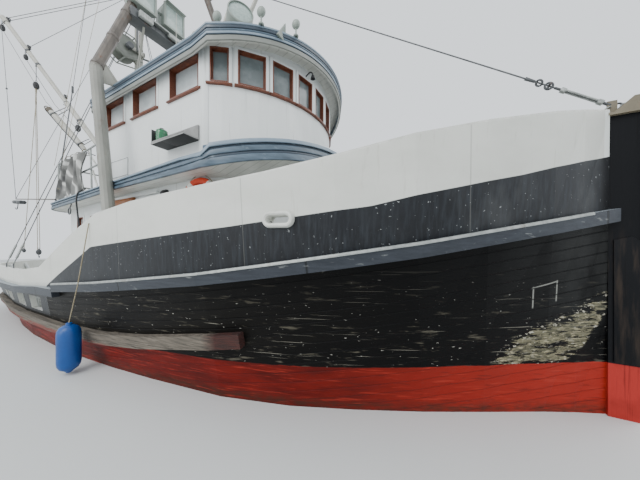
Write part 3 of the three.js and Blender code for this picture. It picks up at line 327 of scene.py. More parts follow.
def plank_tone(finish, along, pitch):
    """A grey level that differs from plank to plank."""
    step = finish.node("ShaderNodeMath", {"operation": "FLOOR"}, {0: along / pitch})
    return finish.node("ShaderNodeTexWhiteNoise", {"noise_dimensions": "1D"}, {"W": step})


def hull_finish():
    f = Finish("carvel_planks", "hull_paint", 0.42, specular=0.10)
    height = sheer(f)
    aft = aft_of_stem(f)
    seam = planks(height, PLANK, PLANK_SEAM)
    tone = plank_tone(f, height, PLANK)
    long_streak = f.noise(3.0, (0.35, 0.35, 7.0), 6.0)
    faded = f.curve(aft, 0, 18, 1, FADED_AFT)
    worn_brown = f.blend(long_streak, "100f0e", "28251f")
    black = f.blend(faded * (0.45 + 0.55 * tone), "060607", worn_brown)
    near_water = f.axis("Z").below(1.45, 0.5)
    scuff = f.patches(5.0, 0.60, 0.68, (0.5, 0.5, 3.2), 8.0) * near_water
    black = f.blend(scuff * 0.55, black, "6f6a5c")
    # the bare patch at the bow rises from the boot line towards the stem
    above_patch = f.curve(f.axis("X"), 7, 9, 2, BARE_TOP)
    below_patch = f.curve(f.axis("X"), 7, 9, 2, BARE_FOOT)
    inside = (above_patch - f.axis("Z")).ramp(0.03, 0.10) * (f.axis("Z") - below_patch).ramp(0.02, 0.05)
    inside = inside * f.axis("X").ramp(7.32, 0.10)
    torn = f.noise(7.0, (0.4, 0.4, 2.4), 12.0, 0.72) + 0.16 * inside
    bare = torn.ramp(0.635, 0.015) * inside.ramp(0.2, 0.15)
    tan = f.blend(f.noise(14.0, (0.3, 0.3, 3.0), 9.0).ramp(0.5, 0.10), "4c4b3e", "7f7a63")
    tan = f.blend(f.patches(22.0, 0.56, 0.62, (0.5, 0.5, 2.0), 6.0), tan, "a39b80")
    black = f.blend(bare * f.patches(30.0, 0.30, 0.42, (0.5, 0.5, 1.5), 4.0), black, tan)
    edge = inside.ramp(0.35, 0.25) * (1 - 0.75 * inside.ramp(0.9, 0.1))
    spatter = f.patches(26.0, 0.585, 0.605, (0.5, 0.5, 1.1), 5.0) * edge
    black = f.blend(spatter, black, "b5b0a0")
    # Painted sheen: the black is lightened high on the hull towards the stem.
    painted_sheen = f.noise(3.0, (0.5, 0.5, 0.25), 5.0).ramp(0.5, 0.2)
    painted_sheen = painted_sheen * f.axis("X").ramp(7.9, 0.6) * f.axis("Z").ramp(1.35, 0.35)
    black = f.blend(painted_sheen * 0.5, black, "4a4b4a")
    # an outline of thin strips let into the planks near the bow
    across = f.axis("X")
    tall = f.axis("Z") - (across - 7.71) * 0.29 - 1.40
    upright = (across - 7.715).line(0.008) + (across - 7.985).line(0.008)
    upright = upright * tall.ramp(0.0, 0.01) * tall.below(0.26, 0.01)
    head = (tall - 0.25).line(0.008) * across.ramp(7.70, 0.01) * across.below(7.99, 0.01)
    black = f.blend((upright + head).at_most(1.0) * f.axis("Y").below(0.0, 0.01) * 0.8, black, "8c8c86")
    flecks = f.patches(30.0, 0.715, 0.735, (0.5, 0.5, 1.6), 2.0) * near_water
    black = f.blend(flecks, black, "b9b7ad")
    scratch = f.patches(14.0, 0.665, 0.69, (0.06, 0.06, 5.0), 3.0) * near_water
    black = f.blend(scratch * 0.6, black, "a29e90")
    black = f.blend(seam * (0.7 - 0.55 * inside), black, "0b0b0c")
    bottom = f.blend(f.patches(1.6, 0.42, 0.62, (0.5, 0.5, 2.2)), "6c1812", "50130f")
    bottom = f.blend(f.axis("X").ramp(6.6, 1.3) * 0.85, bottom, "9b2a20")
    bottom = f.blend(f.patches(9.0, 0.58, 0.66, (0.3, 0.3, 3.0), 6.0) * 0.5, bottom, "4c1c18")
    slime = f.axis("Z").below(0.13, 0.06) * f.patches(6.0, 0.3, 0.6, (1, 1, 3))
    bottom = f.blend(slime * 0.7, bottom, "3a2a20")
    streaks = f.patches(10.0, 0.56, 0.66, (0.22, 0.22, 3.2), 8.0)
    bottom = f.blend(streaks * 0.55, bottom, "a8382c")
    bottom = f.blend(seam * 0.15, bottom, "4a1512")
    boot = f.curve(aft, -1, 18, 1, BOOT_EDGE) + (f.noise(7.0, (1, 1, 0.1)) - 0.5) * 0.02
    side = f.blend((f.axis("Z") - boot).below(0.0, 0.004), black, bottom)
    deck = f.blend(f.patches(2.2, 0.4, 0.66), "7b7e79", "64665f")
    board = planks(f.axis("Y"), DECK_BOARD, BOARD_SEAM)
    deck = f.blend(board * 0.8, deck, "33342f")
    on_deck = f.facing("Z").above(0.8, 0.05) * f.axis("Z").above(0.6, 0.01)
    f.colour(f.blend(on_deck, side, deck))
    f.gloss(0.34 + 0.25 * long_streak + 0.25 * bare + 0.15 * on_deck)
    f.bump((1 - seam) * (1 - on_deck), 0.006)
    f.bump((1 - board) * on_deck, 0.004)
    f.bump(f.noise(9.0, (0.4, 0.4, 3.0), 8.0), 0.004)
    return f


def stem_finish():
    f = Finish("stem_timber", "hull_paint", 0.45, specular=0.15)
    grain = f.noise(4.0, (3.0, 6.0, 0.35), 8.0)
    black = f.blend(grain.ramp(0.6, 0.12) * f.axis("Z").below(2.3, 0.2), "0c0d10", "322a24")
    split = f.noise(7.0, (9.0, 1.0, 0.12), 3.0).ramp(0.64, 0.02)
    black = f.blend(split * 0.7, black, "060606")
    red = f.blend(f.patches(2.0, 0.4, 0.6), "a3302a", "8a2620")
    red = f.blend(split * 0.5, red, "5a1613")
    below = f.axis("Z").below(0.68, 0.006)
    f.colour(f.blend(below, black, red))
    f.gloss(0.38 + 0.25 * grain)
    return f.bump(grain, 0.006)


def bulwark_finish():
    f = Finish("bulwark_boards", "white_paint", 0.4, specular=0.30)
    aft = aft_of_stem(f)
    edge = f.curve(aft, 0, 18, 4, WHITE_EDGE)
    normal = f.node("ShaderNodeNewGeometry", output="Normal")
    across = f.node("ShaderNodeVectorMath", {"operation": "MULTIPLY"}, {0: f.place, 1: (0.15, 1, 0)})
    outward = f.node("ShaderNodeVectorMath", {"operation": "DOT_PRODUCT"}, {0: across, 1: normal}, output="Value")
    outside = outward.above(0.0, 0.05)
    dirt = f.patches(1.3, 0.44, 0.7, (0.6, 0.6, 1.4))
    white = f.blend(dirt * 0.5, "d3d4cd", "bfc1b8")
    drip = f.patches(16.0, 0.60, 0.72, (1, 1, 0.07), 3.0)
    white = f.blend(drip * 0.28, white, "a8a79a")
    streak = f.noise(26.0, (1, 1, 0.09), 4.0)
    black = f.blend(streak.ramp(0.56, 0.12), "131519", "262a2f")
    # Painted sheen: grey patches lighten the black towards the bow.
    black = f.blend(f.patches(2.6, 0.45, 0.62, (0.6, 0.6, 0.35)) * f.axis("X").ramp(6.6, 0.8) * 0.45, black, "4a4c4d")
    black = f.blend(f.axis("X").above(8.50, 0.03), black, "0d0e11")
    black = f.blend(f.patches(1.2, 0.5, 0.62, (0.5, 0.5, 1.0)) * 0.5, black, "1d1f23")
    flecks = f.patches(34.0, 0.735, 0.75, (1, 1, 1), 1.0)
    black = f.blend(flecks * 0.7, black, "9fa2a2")
    low = (f.axis("Z") - edge).below(0.0, 0.003) * outside
    paint = f.blend(low, f.blend(f.axis("X").above(8.53, 0.004), white, "e3e6e2"), black)
    joint = planks(f.axis("X") + 0.31, BULWARK_SHEET, BOARD_SEAM) * outside
    f.colour(f.blend(joint * 0.35, paint, "6d6e6a"))
    f.gloss(0.34 + 0.14 * streak)
    f.bump(1 - joint, 0.002)
    return f.bump(f.noise(3.0, (1, 1, 1), 3.0), 0.006)


def guard_finish():
    f = Finish("guard_paint", "guard_paint", 0.42, specular=0.30)
    grain = f.noise(5.0, (0.25, 2.0, 5.0), 6.0)
    body = f.blend(grain.ramp(0.55, 0.2), "2b2f36", "3a3f46")
    scarf = planks(f.axis("X") + 0.8, GUARD_LENGTH, SCARF_SEAM)
    body = f.blend(scarf * 0.85, body, "15171a")
    worn = f.patches(9.0, 0.62, 0.70, (0.3, 1, 2), 6.0)
    body = f.blend(worn * 0.6, body, "8a8d8c")
    # Painted highlight: the faces that look up are made lighter.
    f.colour(f.blend(f.facing("Z").above(0.6, 0.1) * 0.8, body, "9aa2a8"))
    f.bump(1 - scarf, 0.004)
    return f.bump(grain, 0.003)


def bare_timber_finish():
    f = Finish("bare_ironbark", "bare_timber", 0.8)
    grain = f.noise(6.0, (0.2, 3.0, 9.0), 9.0)
    grey = f.blend(grain.ramp(0.52, 0.2), "443f38", "80776a")
    red = f.blend(grain.ramp(0.5, 0.2), "221310", "471f17")
    wood = f.blend(f.axis("X").ramp(3.95, 0.12), grey, red)
    split = f.patches(20.0, 0.63, 0.67, (0.05, 1, 4), 3.0)
    wood = f.blend(split * 0.8, wood, "2a2622")
    low_red = f.axis("Z").below(0.5, 0.02) * f.patches(8.0, 0.4, 0.5, (0.4, 1, 2))
    f.colour(f.blend(low_red * 0.7, wood, "7a2a22"))
    f.bump(grain, 0.012)
    return f.bump(1 - split, 0.006)


def wall_finish():
    f = Finish("wall_paint", "wall_paint", 0.38)
    dirt = f.patches(1.1, 0.42, 0.7)
    paint = f.blend(dirt * 0.45, "dcdfde", "cbcfcd")
    drip = f.patches(15.0, 0.60, 0.72, (1, 1, 0.06), 3.0)
    paint = f.blend(drip * 0.3, paint, "9c9d94")
    rust = f.patches(13.0, 0.70, 0.76, (1, 1, 0.12), 4.0)
    f.colour(f.blend(rust * 0.25, paint, "9a7a5c"))
    f.gloss(0.32 + 0.2 * dirt)
    return f.bump(f.noise(2.5, (1, 1, 1), 3.0), 0.006)


def trim_finish(name="slate_trim", light="607383", dark="394853"):
    f = Finish(name, "blue_trim", 0.36)
    tone = f.noise(3.0, (1, 1, 6.0), 5.0)
    paint = f.blend(tone.ramp(0.5, 0.25), dark, light)
    chalk = f.patches(7.0, 0.6, 0.72, (1, 1, 2))
    f.colour(f.blend(chalk * 0.4, paint, "94a3ad"))
    return f.bump(tone, 0.002)


def deck_level_finish(name, top, under):
    """Decks and roofs: blue edges, a walked top and a painted underside."""
    f = Finish(name, "blue_trim", 0.45)
    edge = f.blend(f.noise(3.0, (1, 1, 6.0)).ramp(0.5, 0.25), "43566a", "5f7587")
    up = f.facing("Z").above(0.7, 0.05)
    down = f.facing("Z").below(-0.7, 0.05)
    worn = f.patches(1.8, 0.4, 0.66)
    walked = f.blend(worn * 0.5, top, "6d706b")
    board = planks(f.axis("Y"), SOFFIT_BOARD, BOARD_SEAM)
    soffit = f.blend(board * 0.4, f.blend(worn * 0.4, under, "a3a49d"), "7d7e78")
    f.colour(f.blend(down, f.blend(up, edge, walked), soffit))
    f.gloss(0.36 + 0.3 * up)
    f.bump((1 - board) * down, 0.003)
    return f.bump(f.noise(60.0, (1, 1, 1), 2.0) * up, 0.001)


def varnish_finish(name="brown_varnish", light="7b4630", dark="4c2619"):
    f = Finish(name, "varnish", 0.3)
    grain = f.noise(9.0, (2.0, 2.0, 14.0), 7.0)
    wood = f.blend(grain.ramp(0.5, 0.18), dark, light)
    worn = f.patches(6.0, 0.64, 0.74)
    f.colour(f.blend(worn * 0.4, wood, "9b6a4a"))
    f.gloss(0.25 + 0.3 * grain)
    return f.bump(grain, 0.002)


def painted_steel(name, slot, light, dark, rust_amount):
    f = Finish(name, slot, 0.5)
    tone = f.noise(2.4, (1, 1, 0.5), 5.0)
    paint = f.blend(tone.ramp(0.5, 0.22), dark, light)
    rust = f.patches(8.0, 0.62, 0.72, (1, 1, 0.5), 7.0)
    rust_colour = f.blend(f.noise(30.0), "6b3a20", "8f5a34")
    f.colour(f.blend(rust * rust_amount, paint, rust_colour))
    f.gloss(0.4 + 0.3 * rust)
    return f.bump(tone + 0.6 * rust, 0.002)


def leg_finish():
    """Gantry legs: grey paint below the knee, browner and more rusted above it."""
    f = Finish("leg_paint", "steel_paint", 0.5)
    tone = f.noise(2.4, (1, 1, 0.5), 5.0)
    low = f.blend(tone.ramp(0.5, 0.22), "777770", "92928a")
    high = f.blend(f.noise(7.0, (1, 1, 0.3), 6.0).ramp(0.5, 0.15), "4b453f", "696159")
    above_knee = f.axis("Z").above(5.68, 0.05)
    rust = f.patches(8.0, 0.60, 0.70, (1, 1, 0.4), 7.0)
    f.colour(f.blend(rust * (0.25 + 0.35 * above_knee), f.blend(above_knee, low, high), "6e4329"))
    f.gloss(0.42 + 0.3 * rust)
    return f.bump(tone + 0.6 * rust, 0.002)


def screen_finish():
    f = Finish("screen_paint", "dark_steel", 0.6)
    tone = f.noise(6.0, (1, 1, 1), 6.0)
    paint = f.blend(tone.ramp(0.5, 0.2), "7d7d7b", "949492")
    f.colour(f.blend(f.facing("Z").below(-0.6, 0.1), paint, "1f2022"))
    return f.bump(tone, 0.001)


def bare_metal(name, slot, light, dark, metallic=0.75, roughness=0.45):
    f = Finish(name, slot, roughness, metallic)
    tone = f.noise(12.0, detail=6.0)
    stain = f.patches(5.0, 0.58, 0.72)
    colour = f.blend(tone.ramp(0.5, 0.2), dark, light)
    f.colour(f.blend(stain * 0.4, colour, "6a5a48"))
    f.gloss(roughness - 0.08 + 0.25 * tone)
    return f.bump(tone, 0.001)


def plain_finish(name, slot, colour, shade, roughness=0.5, scale=8.0, depth=0.001):
    f = Finish(name, slot, roughness)
    tone = f.noise(scale, detail=5.0)
    f.colour(f.blend(tone.ramp(0.52, 0.2), colour, shade))
    f.gloss(roughness - 0.1 + 0.2 * tone)
    return f.bump(tone, depth)


def bottom_finish():
    f = Finish("bottom_paint", "bottom_paint", 0.6)
    tone = f.patches(2.0, 0.4, 0.62)
    red = f.blend(tone, "9c2a23", "77201c")
    weed = f.patches(6.0, 0.55, 0.68, (1, 1, 1.5), 6.0)
    f.colour(f.blend(weed * 0.5, red, "4a3528"))
    return f.bump(f.noise(12.0), 0.003)


def rope_finish():
    """Laid rope: strands wind along the curve's own UV map."""
    f = Finish("laid_rope", "rope", 0.85)
    uv = f.node("ShaderNodeUVMap")
    along = f.node("ShaderNodeSeparateXYZ", values={0: uv}, output="X")
    around = f.node("ShaderNodeSeparateXYZ", values={0: uv}, output="Y")
    strand = ((along * 70.0 + around * 3.0).fract() - 0.5).size() * 2.0
    tone = f.noise(20.0)
    base = f.blend(tone.ramp(0.5, 0.2), "b6ab92", "8f8468")
    f.colour(f.blend(strand.above(0.8, 0.15), base, "5c5340"))
    return f.bump(1 - strand, 0.003)


def canvas_finish():
    """Grey sheet with folds that lean forward: painted highlights on the crests and painted shade in the hollows
    between them.
    """
    f = Finish("grey_canvas", "wall_paint", 0.75)
    lean = f.axis("X") * 1.7 + f.axis("Z") * 0.9 + f.noise(1.3, detail=2.0) * 2.0
    crease = (lean.fract() - 0.5).size() * 2.0
    # Painted light and shade of the folds: darker and lighter across each fold, with a painted highlight on its
    # crest.
    cloth = f.blend(crease.ramp(0.5, 0.4), "51514f", "868683")
    cloth = f.blend(crease.above(0.88, 0.05), cloth, "c9c9c5")
    # Painted shade in cloudy hollows between the folds.
    painted_fold_shade = f.patches(2.6, 0.55, 0.64, (1, 1, 0.7), 2.0)
    cloth = f.blend(painted_fold_shade * 0.8, cloth, "2c2c2d")
    f.colour(f.blend(f.patches(5.0, 0.64, 0.70) * 0.4, cloth, "b3a57f"))
    return f.bump(crease, 0.012)


def glass_finish(name, dark, light, alpha):
    f = Finish(name, "wall_paint", 0.04)
    # The glass's colour is a painted reflection of the pale sky, patchy between a darker and a lighter tone; the same
    # patches roughen it like smears.
    smear_and_reflection = f.patches(3.0, 0.4, 0.7)
    f.colour(f.blend(smear_and_reflection, dark, light))
    f.shader.inputs["Alpha"].default_value = alpha
    f.shader.inputs["IOR"].default_value = 1.5
    f.gloss(0.03 + 0.08 * smear_and_reflection)
    return f


def lamp_glass(name, slot, colour, glow, strength):
    f = Finish(name, slot, 0.12)
    tone = f.noise(25.0)
    f.colour(f.blend(tone.ramp(0.5, 0.3), colour, glow))
    f.shader.inputs["Emission Color"].default_value = linear(glow)
    f.shader.inputs["Emission Strength"].default_value = strength
    f.shader.inputs["Coat Weight"].default_value = 0.6
    return f


HULL = hull_finish()
STEM = stem_finish()
BULWARK = bulwark_finish()
GUARD = guard_finish()
BARE_TIMBER = bare_timber_finish()
WALL = wall_finish()
TRIM = trim_finish()
DARK_TRIM = trim_finish("slate_trim_dark", "3c4955", "2f3a45")
LIGHT_TRIM = trim_finish("slate_trim_light", "8797a4", "6d7f8e")
BOAT_DECK = deck_level_finish("boat_deck_paint", "80837d", "f0f0ea")
ROOF = deck_level_finish("roof_paint", "b9bcb8", "cccdc6")
VARNISH = varnish_finish()
DOOR_VARNISH = varnish_finish("door_varnish", "a5652f", "7a4420")
STEEL = painted_steel("mast_paint", "steel_paint", "a3a39b", "8a8a80", 0.35)
LEG_STEEL = leg_finish()
BROWN_STEEL = painted_steel("gantry_paint", "steel_paint", "665f58", "4d4741", 0.5)
DARK_STEEL = painted_steel("dark_steel_paint", "dark_steel", "55585a", "3c3e40", 0.45)
CREAM_STEEL = painted_steel("boom_paint", "steel_paint", "c0bfb7", "a6a49a", 0.3)
GALVANISED = bare_metal("galvanised_steel", "galvanised", "b3b6b3", "8f9391")
BRONZE = bare_metal("propeller_bronze", "bronze", "b98f4e", "7f5f30", 0.85, 0.35)
WIRE = bare_metal("rigging_wire", "galvanised", "77797a", "4e5052", 0.6, 0.55)
SCREEN = screen_finish()
BLACK = plain_finish("black_fittings", "dark_steel", "1d1e20", "2d2e30", 0.5)
# Painted shade: the soffit's pale paint darkened to the grey that it shows in the shade under the roof; it colours
# the lowest strip of the roof edge.
SHADED_SOFFIT = plain_finish("soffit_painted_shade", "blue_trim", "82857f", "727570", 0.45, 3.0)
WHITE = plain_finish("white_casting", "white_paint", "d9dad4", "c2c3bb", 0.4)
VINYL = plain_finish("fender_vinyl", "fender_vinyl", "004a92", "003e80", 0.36, 5.0)
ORANGE = plain_finish("buoy_cover", "buoy_orange", "d8431f", "b83a1d", 0.6, 14.0)
BOTTOM = bottom_finish()
ROPE = rope_finish()
# Painted reflections: the front glass a mid grey, the side glass near white.
FRONT_GLASS = glass_finish("front_glass", "6f7879", "8b9495", 0.80)
SIDE_GLASS = glass_finish("side_glass", "b9c0c1", "d3d8d9", 0.86)
HATCH = plain_finish("hatch_paint", "deck_paint", "8b8e88", "73766f", 0.7, 6.0, 0.002)
LAMP = painted_steel("lamp_paint", "lamp_housing", "9aa39b", "79827b", 0.25)
GEAR = painted_steel("gear_paint", "lamp_housing", "7f837a", "5c605a", 0.5)
LENS = lamp_glass("lamp_lens", "lamp_housing", "7f918c", "a9b8b2", 0.05)
GREEN_LAMP = lamp_glass("green_lamp", "dark_steel", "00241a", "007a45", 0.16)
RED_LAMP = lamp_glass("red_lamp", "dark_steel", "330505", "9a1812", 0.16)
CANVAS = canvas_finish()
PLATE = painted_steel("roller_plate", "dark_steel", "857c69", "5f5848", 0.6)
BLIND = plain_finish("window_blind", "wall_paint", "d5d8d6", "bfc4c2", 0.8, 4.0, 0.002)
CABIN = plain_finish("cabin_lining", "wall_paint", "8a8378", "6d665c", 0.7, 3.0, 0.002)

NODE_FINISHES = {
    HULL: ("hull",), BOTTOM: ("keel", "rudder"), STEM: ("stem_post",), BULWARK: ("bulwark",), GUARD: ("upper_guard",),
    BARE_TIMBER: ("lower_guard",), BOAT_DECK: ("boat_deck",), ROOF: ("pilothouse_roof",),
    DOOR_VARNISH: ("deckhouse_aft_door", "deckhouse_sliding_door", "pilothouse_door"),
    WALL: ("deckhouse", "pilothouse", "hatch_coaming"), STEEL: ("mast", "mast_strut", "exhaust_stack"),
    LEG_STEEL: ("gantry_leg",), CREAM_STEEL: ("boom",),
    DARK_STEEL: ("gantry_crossbeam", "gantry_top_beam", "boom_gooseneck", "windlass_frame", "deck_winch_frame",
                 "mooring_bitts"),
    GALVANISED: ("boat_deck_rail", "anchor", "windlass_drum", "deck_winch_drum"),
    WIRE: ("shrouds", "forestay"), PLATE: ("bow_roller",), GEAR: ("hauling_reel",), HATCH: ("hatch_cover",),
    LAMP: ("floodlight",), SCREEN: ("sidelight",), BRONZE: ("propeller",), ORANGE: ("lifebuoy",),
    VINYL: ("fender",), ROPE: ("fender_rope",),
}
# the longest name that a node's own name starts with gives its finish
FINISH_OF = {start: finish for finish, starts in NODE_FINISHES.items() for start in starts}
for node_name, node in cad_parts.items():
    finish = FINISH_OF[max((start for start in FINISH_OF if node_name.startswith(start)), key=len)]
    node.data.materials.clear()
    node.data.materials.append(finish.material)


# Modelling helpers: each makes one mesh from a primitive and shapes it in place
def select_only(*pieces):
    bpy.ops.object.select_all(action="DESELECT")
    for piece in pieces:
        piece.select_set(True)
    bpy.context.view_layer.objects.active = pieces[0]


def fix_place():
    """Puts the place, turn and scale of what is selected into its mesh."""
    bpy.ops.object.transform_apply(location=True, rotation=True, scale=True)
    return bpy.context.object


def settle(piece, name, finish, body="root", smooth=35):
    """Names a finished piece, fixes its place in its mesh, and gives it a finish and a body to ride on."""
    select_only(piece)
    if piece.type != "MESH":
        bpy.ops.object.convert(target="MESH")
    piece = fix_place()
    bpy.ops.object.shade_smooth_by_angle(angle=math.radians(smooth))
    piece.name = piece.data.name = name
    piece.data.materials.clear()
    piece.data.materials.append(finish.material)
    if body:
        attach(piece, body)
    return piece


def modify(piece, kind, **settings):
    select_only(piece)
    modifier = piece.modifiers.new(kind, kind)
    for key, setting in settings.items():
        setattr(modifier, key, setting)
    bpy.ops.object.modifier_apply(modifier=modifier.name)
    return piece


def rounded(piece, width):
    return modify(piece, "BEVEL", width=width, segments=2, limit_method="ANGLE") if width else piece


def joined(*pieces):
    if len(pieces) > 1:
        select_only(*pieces)
        bpy.ops.object.join()
    return pieces[0]


def linked(name, data):
    """A new object in the scene that holds a mesh or a curve."""
    piece = bpy.data.objects.new(name, data)
    bpy.context.collection.objects.link(piece)
    return piece


def placed(piece, matrix):
    piece.matrix_world = matrix @ piece.matrix_world
    select_only(piece)
    return fix_place()


def copied(piece, matrix):
    """A copy with its own mesh, moved by a matrix."""
    twin = piece.copy()
    twin.data = piece.data.copy()
    bpy.context.collection.objects.link(twin)
    placed(twin, matrix)
    return outwards(twin) if matrix.determinant() < 0 else twin


def edited(piece, *steps):
    """Runs edit operators one after another, each on the whole piece."""
    select_only(piece)
    bpy.ops.object.mode_set(mode="EDIT")
    for operator, settings in steps:
        bpy.ops.mesh.select_all(action="SELECT")
        operator(**settings)
    bpy.ops.object.mode_set(mode="OBJECT")
    return piece


FACE_OUT = (bpy.ops.mesh.normals_make_consistent, {"inside": False})


def outwards(piece):
    return edited(piece, FACE_OUT)


def slab(low, high, bevel=0.0):
    """A board between two corners, with its edges rounded off."""
    size = [b - a for a, b in zip(low, high)]
    middle = [(a + b) / 2 for a, b in zip(low, high)]
    bpy.ops.mesh.primitive_cube_add(size=1, location=middle, scale=size)
    return rounded(fix_place(), bevel)


def turn_to(axis):
    """The turn that lays local Z along an axis."""
    return Vector(axis).to_track_quat("Z", "Y")


def rod(start, end, radius, end_radius=None, sides=24, bevel=0.0):
    """A round bar or cone between two points."""
    start, end = Vector(start), Vector(end)
    last = radius if end_radius is None else end_radius
    bpy.ops.mesh.primitive_cone_add(vertices=sides, radius1=radius, radius2=last, depth=(end - start).length,
                                    location=(start + end) / 2, rotation=turn_to(end - start).to_euler())
    return rounded(fix_place(), bevel)


def globe(centre, radius, scale=(1, 1, 1), sides=24):
    bpy.ops.mesh.primitive_uv_sphere_add(segments=sides, ring_count=sides // 2, radius=radius, location=centre,
                                         scale=scale)
    return fix_place()


def hoop(centre, axis, radius, thickness, sides=32, around=12):
    bpy.ops.mesh.primitive_torus_add(location=centre, rotation=turn_to(axis).to_euler(), major_segments=sides,
                                     minor_segments=around, major_radius=radius, minor_radius=thickness)
    return fix_place()


def drawn(points, faces=()):
    """A mesh drawn from points, a first outline for the edit operators."""
    mesh = bpy.data.meshes.new("outline")
    lines = [] if faces else [(i, i + 1) for i in range(len(points) - 1)]
    mesh.from_pydata([tuple(p) for p in points], lines, list(faces))
    return linked("outline", mesh)


def turned(profile, at, axis=(0, 0, 1), sides=32):
    """A profile of (radius, height) points spun about an axis, closed where the radius is zero."""
    spin = {"steps": sides, "angle": 2 * math.pi, "center": (0, 0, 0), "axis": (0, 0, 1)}
    piece = edited(drawn([(radius, 0, height) for radius, height in profile]), (bpy.ops.mesh.spin, spin),
                   (bpy.ops.mesh.remove_doubles, {"threshold": 1e-5}), FACE_OUT)
    return placed(piece, Matrix.Translation(at) @ turn_to(axis).to_matrix().to_4x4())


def round_curve(name, points, radius, resolution, kind="POLY"):
    """A round bar as a curve through several points."""
    curve = bpy.data.curves.new(name, "CURVE")
    curve.dimensions = "3D"
    curve.bevel_depth = radius
    curve.bevel_resolution = resolution
    curve.use_fill_caps = True
    spline = curve.splines.new(kind)
    spline.points.add(len(points) - 1)
    for knot, point in zip(spline.points, points):
        knot.co = (*point, 1)
    return linked(name, curve)


def pipe(points, radius, sides=12, smooth_corners=False):
    """A round bar through several points, as a mesh."""
    piece = round_curve("pipe", points, radius, max(0, sides // 4 - 1), "NURBS" if smooth_corners else "POLY")
    if smooth_corners:
        spline = piece.data.splines[0]
        spline.order_u = 3
        spline.use_endpoint_u = True
        spline.resolution_u = 6
    select_only(piece)
    bpy.ops.object.convert(target="MESH")
    return bpy.context.object


def prism(outline, normal_axis, low, high, bevel=0.0):
    """A plate of any outline, extruded between two places along X, Y or Z."""
    def lift(u, v, w):
        return {"X": (w, u, v), "Y": (u, w, v), "Z": (u, v, w)}[normal_axis]
    piece = drawn([lift(u, v, low) for u, v in outline], [tuple(range(len(outline)))])
    move = {"TRANSFORM_OT_translate": {"value": lift(0, 0, high - low)}}
    return rounded(edited(piece, (bpy.ops.mesh.extrude_region_move, move), FACE_OUT), bevel)


def moulding(path, profile, closed=True):
    """A shaped strip along a path: profile points are (out, up), and out is to the right of the path."""
    count = len(path)
    rings = []
    for i, point in enumerate(path):
        before = path[i - 1] if closed or i else point
        after = path[(i + 1) % count] if closed or i < count - 1 else point
        first = Vector((point[0] - before[0], point[1] - before[1]))
        second = Vector((after[0] - point[0], after[1] - point[1]))
        first = first.normalized() if first.length > 1e-9 else second.normalized()
        second = second.normalized() if second.length > 1e-9 else first
        along = (first + second).normalized()
        spread = 1 / max(0.5, along.dot(first))
        out = Vector((along.y, -along.x)) * spread
        rings.append([(point[0] + out.x * u, point[1] + out.y * u, point[2] + v) for u, v in profile])
    points = [p for ring in rings for p in ring]
    size = len(profile)
    faces = []
    for i in range(count if closed else count - 1):
        for j in range(size):
            a, b = i * size + j, i * size + (j + 1) % size
            c, d = ((i + 1) % count) * size + (j + 1) % size, ((i + 1) % count) * size + j
            faces.append((a, b, c, d))
    if not closed:
        faces += [tuple(range(size)), tuple(reversed(range((count - 1) * size, count * size)))]
    return outwards(drawn(points, faces))


def skin(node_name, keep, thickness):
    """A layer on some faces of a CAD node: keep tells them by centre and normal."""
    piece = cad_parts[node_name].copy()
    piece.data = piece.data.copy()
    piece.parent = None
    bpy.context.collection.objects.link(piece)
    shell = bmesh.new()
    shell.from_mesh(piece.data)
    bmesh.ops.remove_doubles(shell, verts=shell.verts, dist=1e-4)
    waste = [face for face in shell.faces if not keep(face.calc_center_median(), face.normal)]
    bmesh.ops.delete(shell, geom=waste, context="FACES")
    shell.to_mesh(piece.data)
    shell.free()
    return modify(piece, "SOLIDIFY", thickness=thickness, offset=1.0, use_even_offset=True)


MIRROR = Matrix.Diagonal((1, -1, 1, 1))
SIDES = (("starboard", -1), ("port", 1))
ACROSS = Vector((0, 1, 0))


def rise(height):
    return Vector((0, 0, height))


def wall_frame(point, angle):
    """Local X to the right, Y up and Z out of a wall that faces an angle in plan."""
    out = Vector((math.cos(angle), math.sin(angle), 0))
    right = Vector((-math.sin(angle), math.cos(angle), 0))
    turn = Matrix((right, rise(1), out)).transposed().to_4x4()
    return Matrix.Translation(point) @ turn


def on_front(angle, z):
    """A frame on the curved front of the houses."""
    place = (FRONT_CENTRE_X + FRONT_RADIUS * math.cos(angle), FRONT_RADIUS * math.sin(angle), z)
    return wall_frame(place, angle)


def on_side(x, z, sign):
    """A frame on a side wall of the houses."""
    return wall_frame((x, sign * HOUSE_HALF, z), sign * math.pi / 2)


def rectangle(width, height):
    """A closed outline with its middle at the origin."""
    across, up = width / 2, height / 2
    return [(-across, -up, 0), (across, -up, 0), (across, up, 0), (-across, up, 0)]


# Windows: a varnished liner set deep in the wall, a white casing, a sill, and glass
CASING_WIDTH = 0.05
PANE_MARGIN = 0.02
SILL_REACH = 0.055


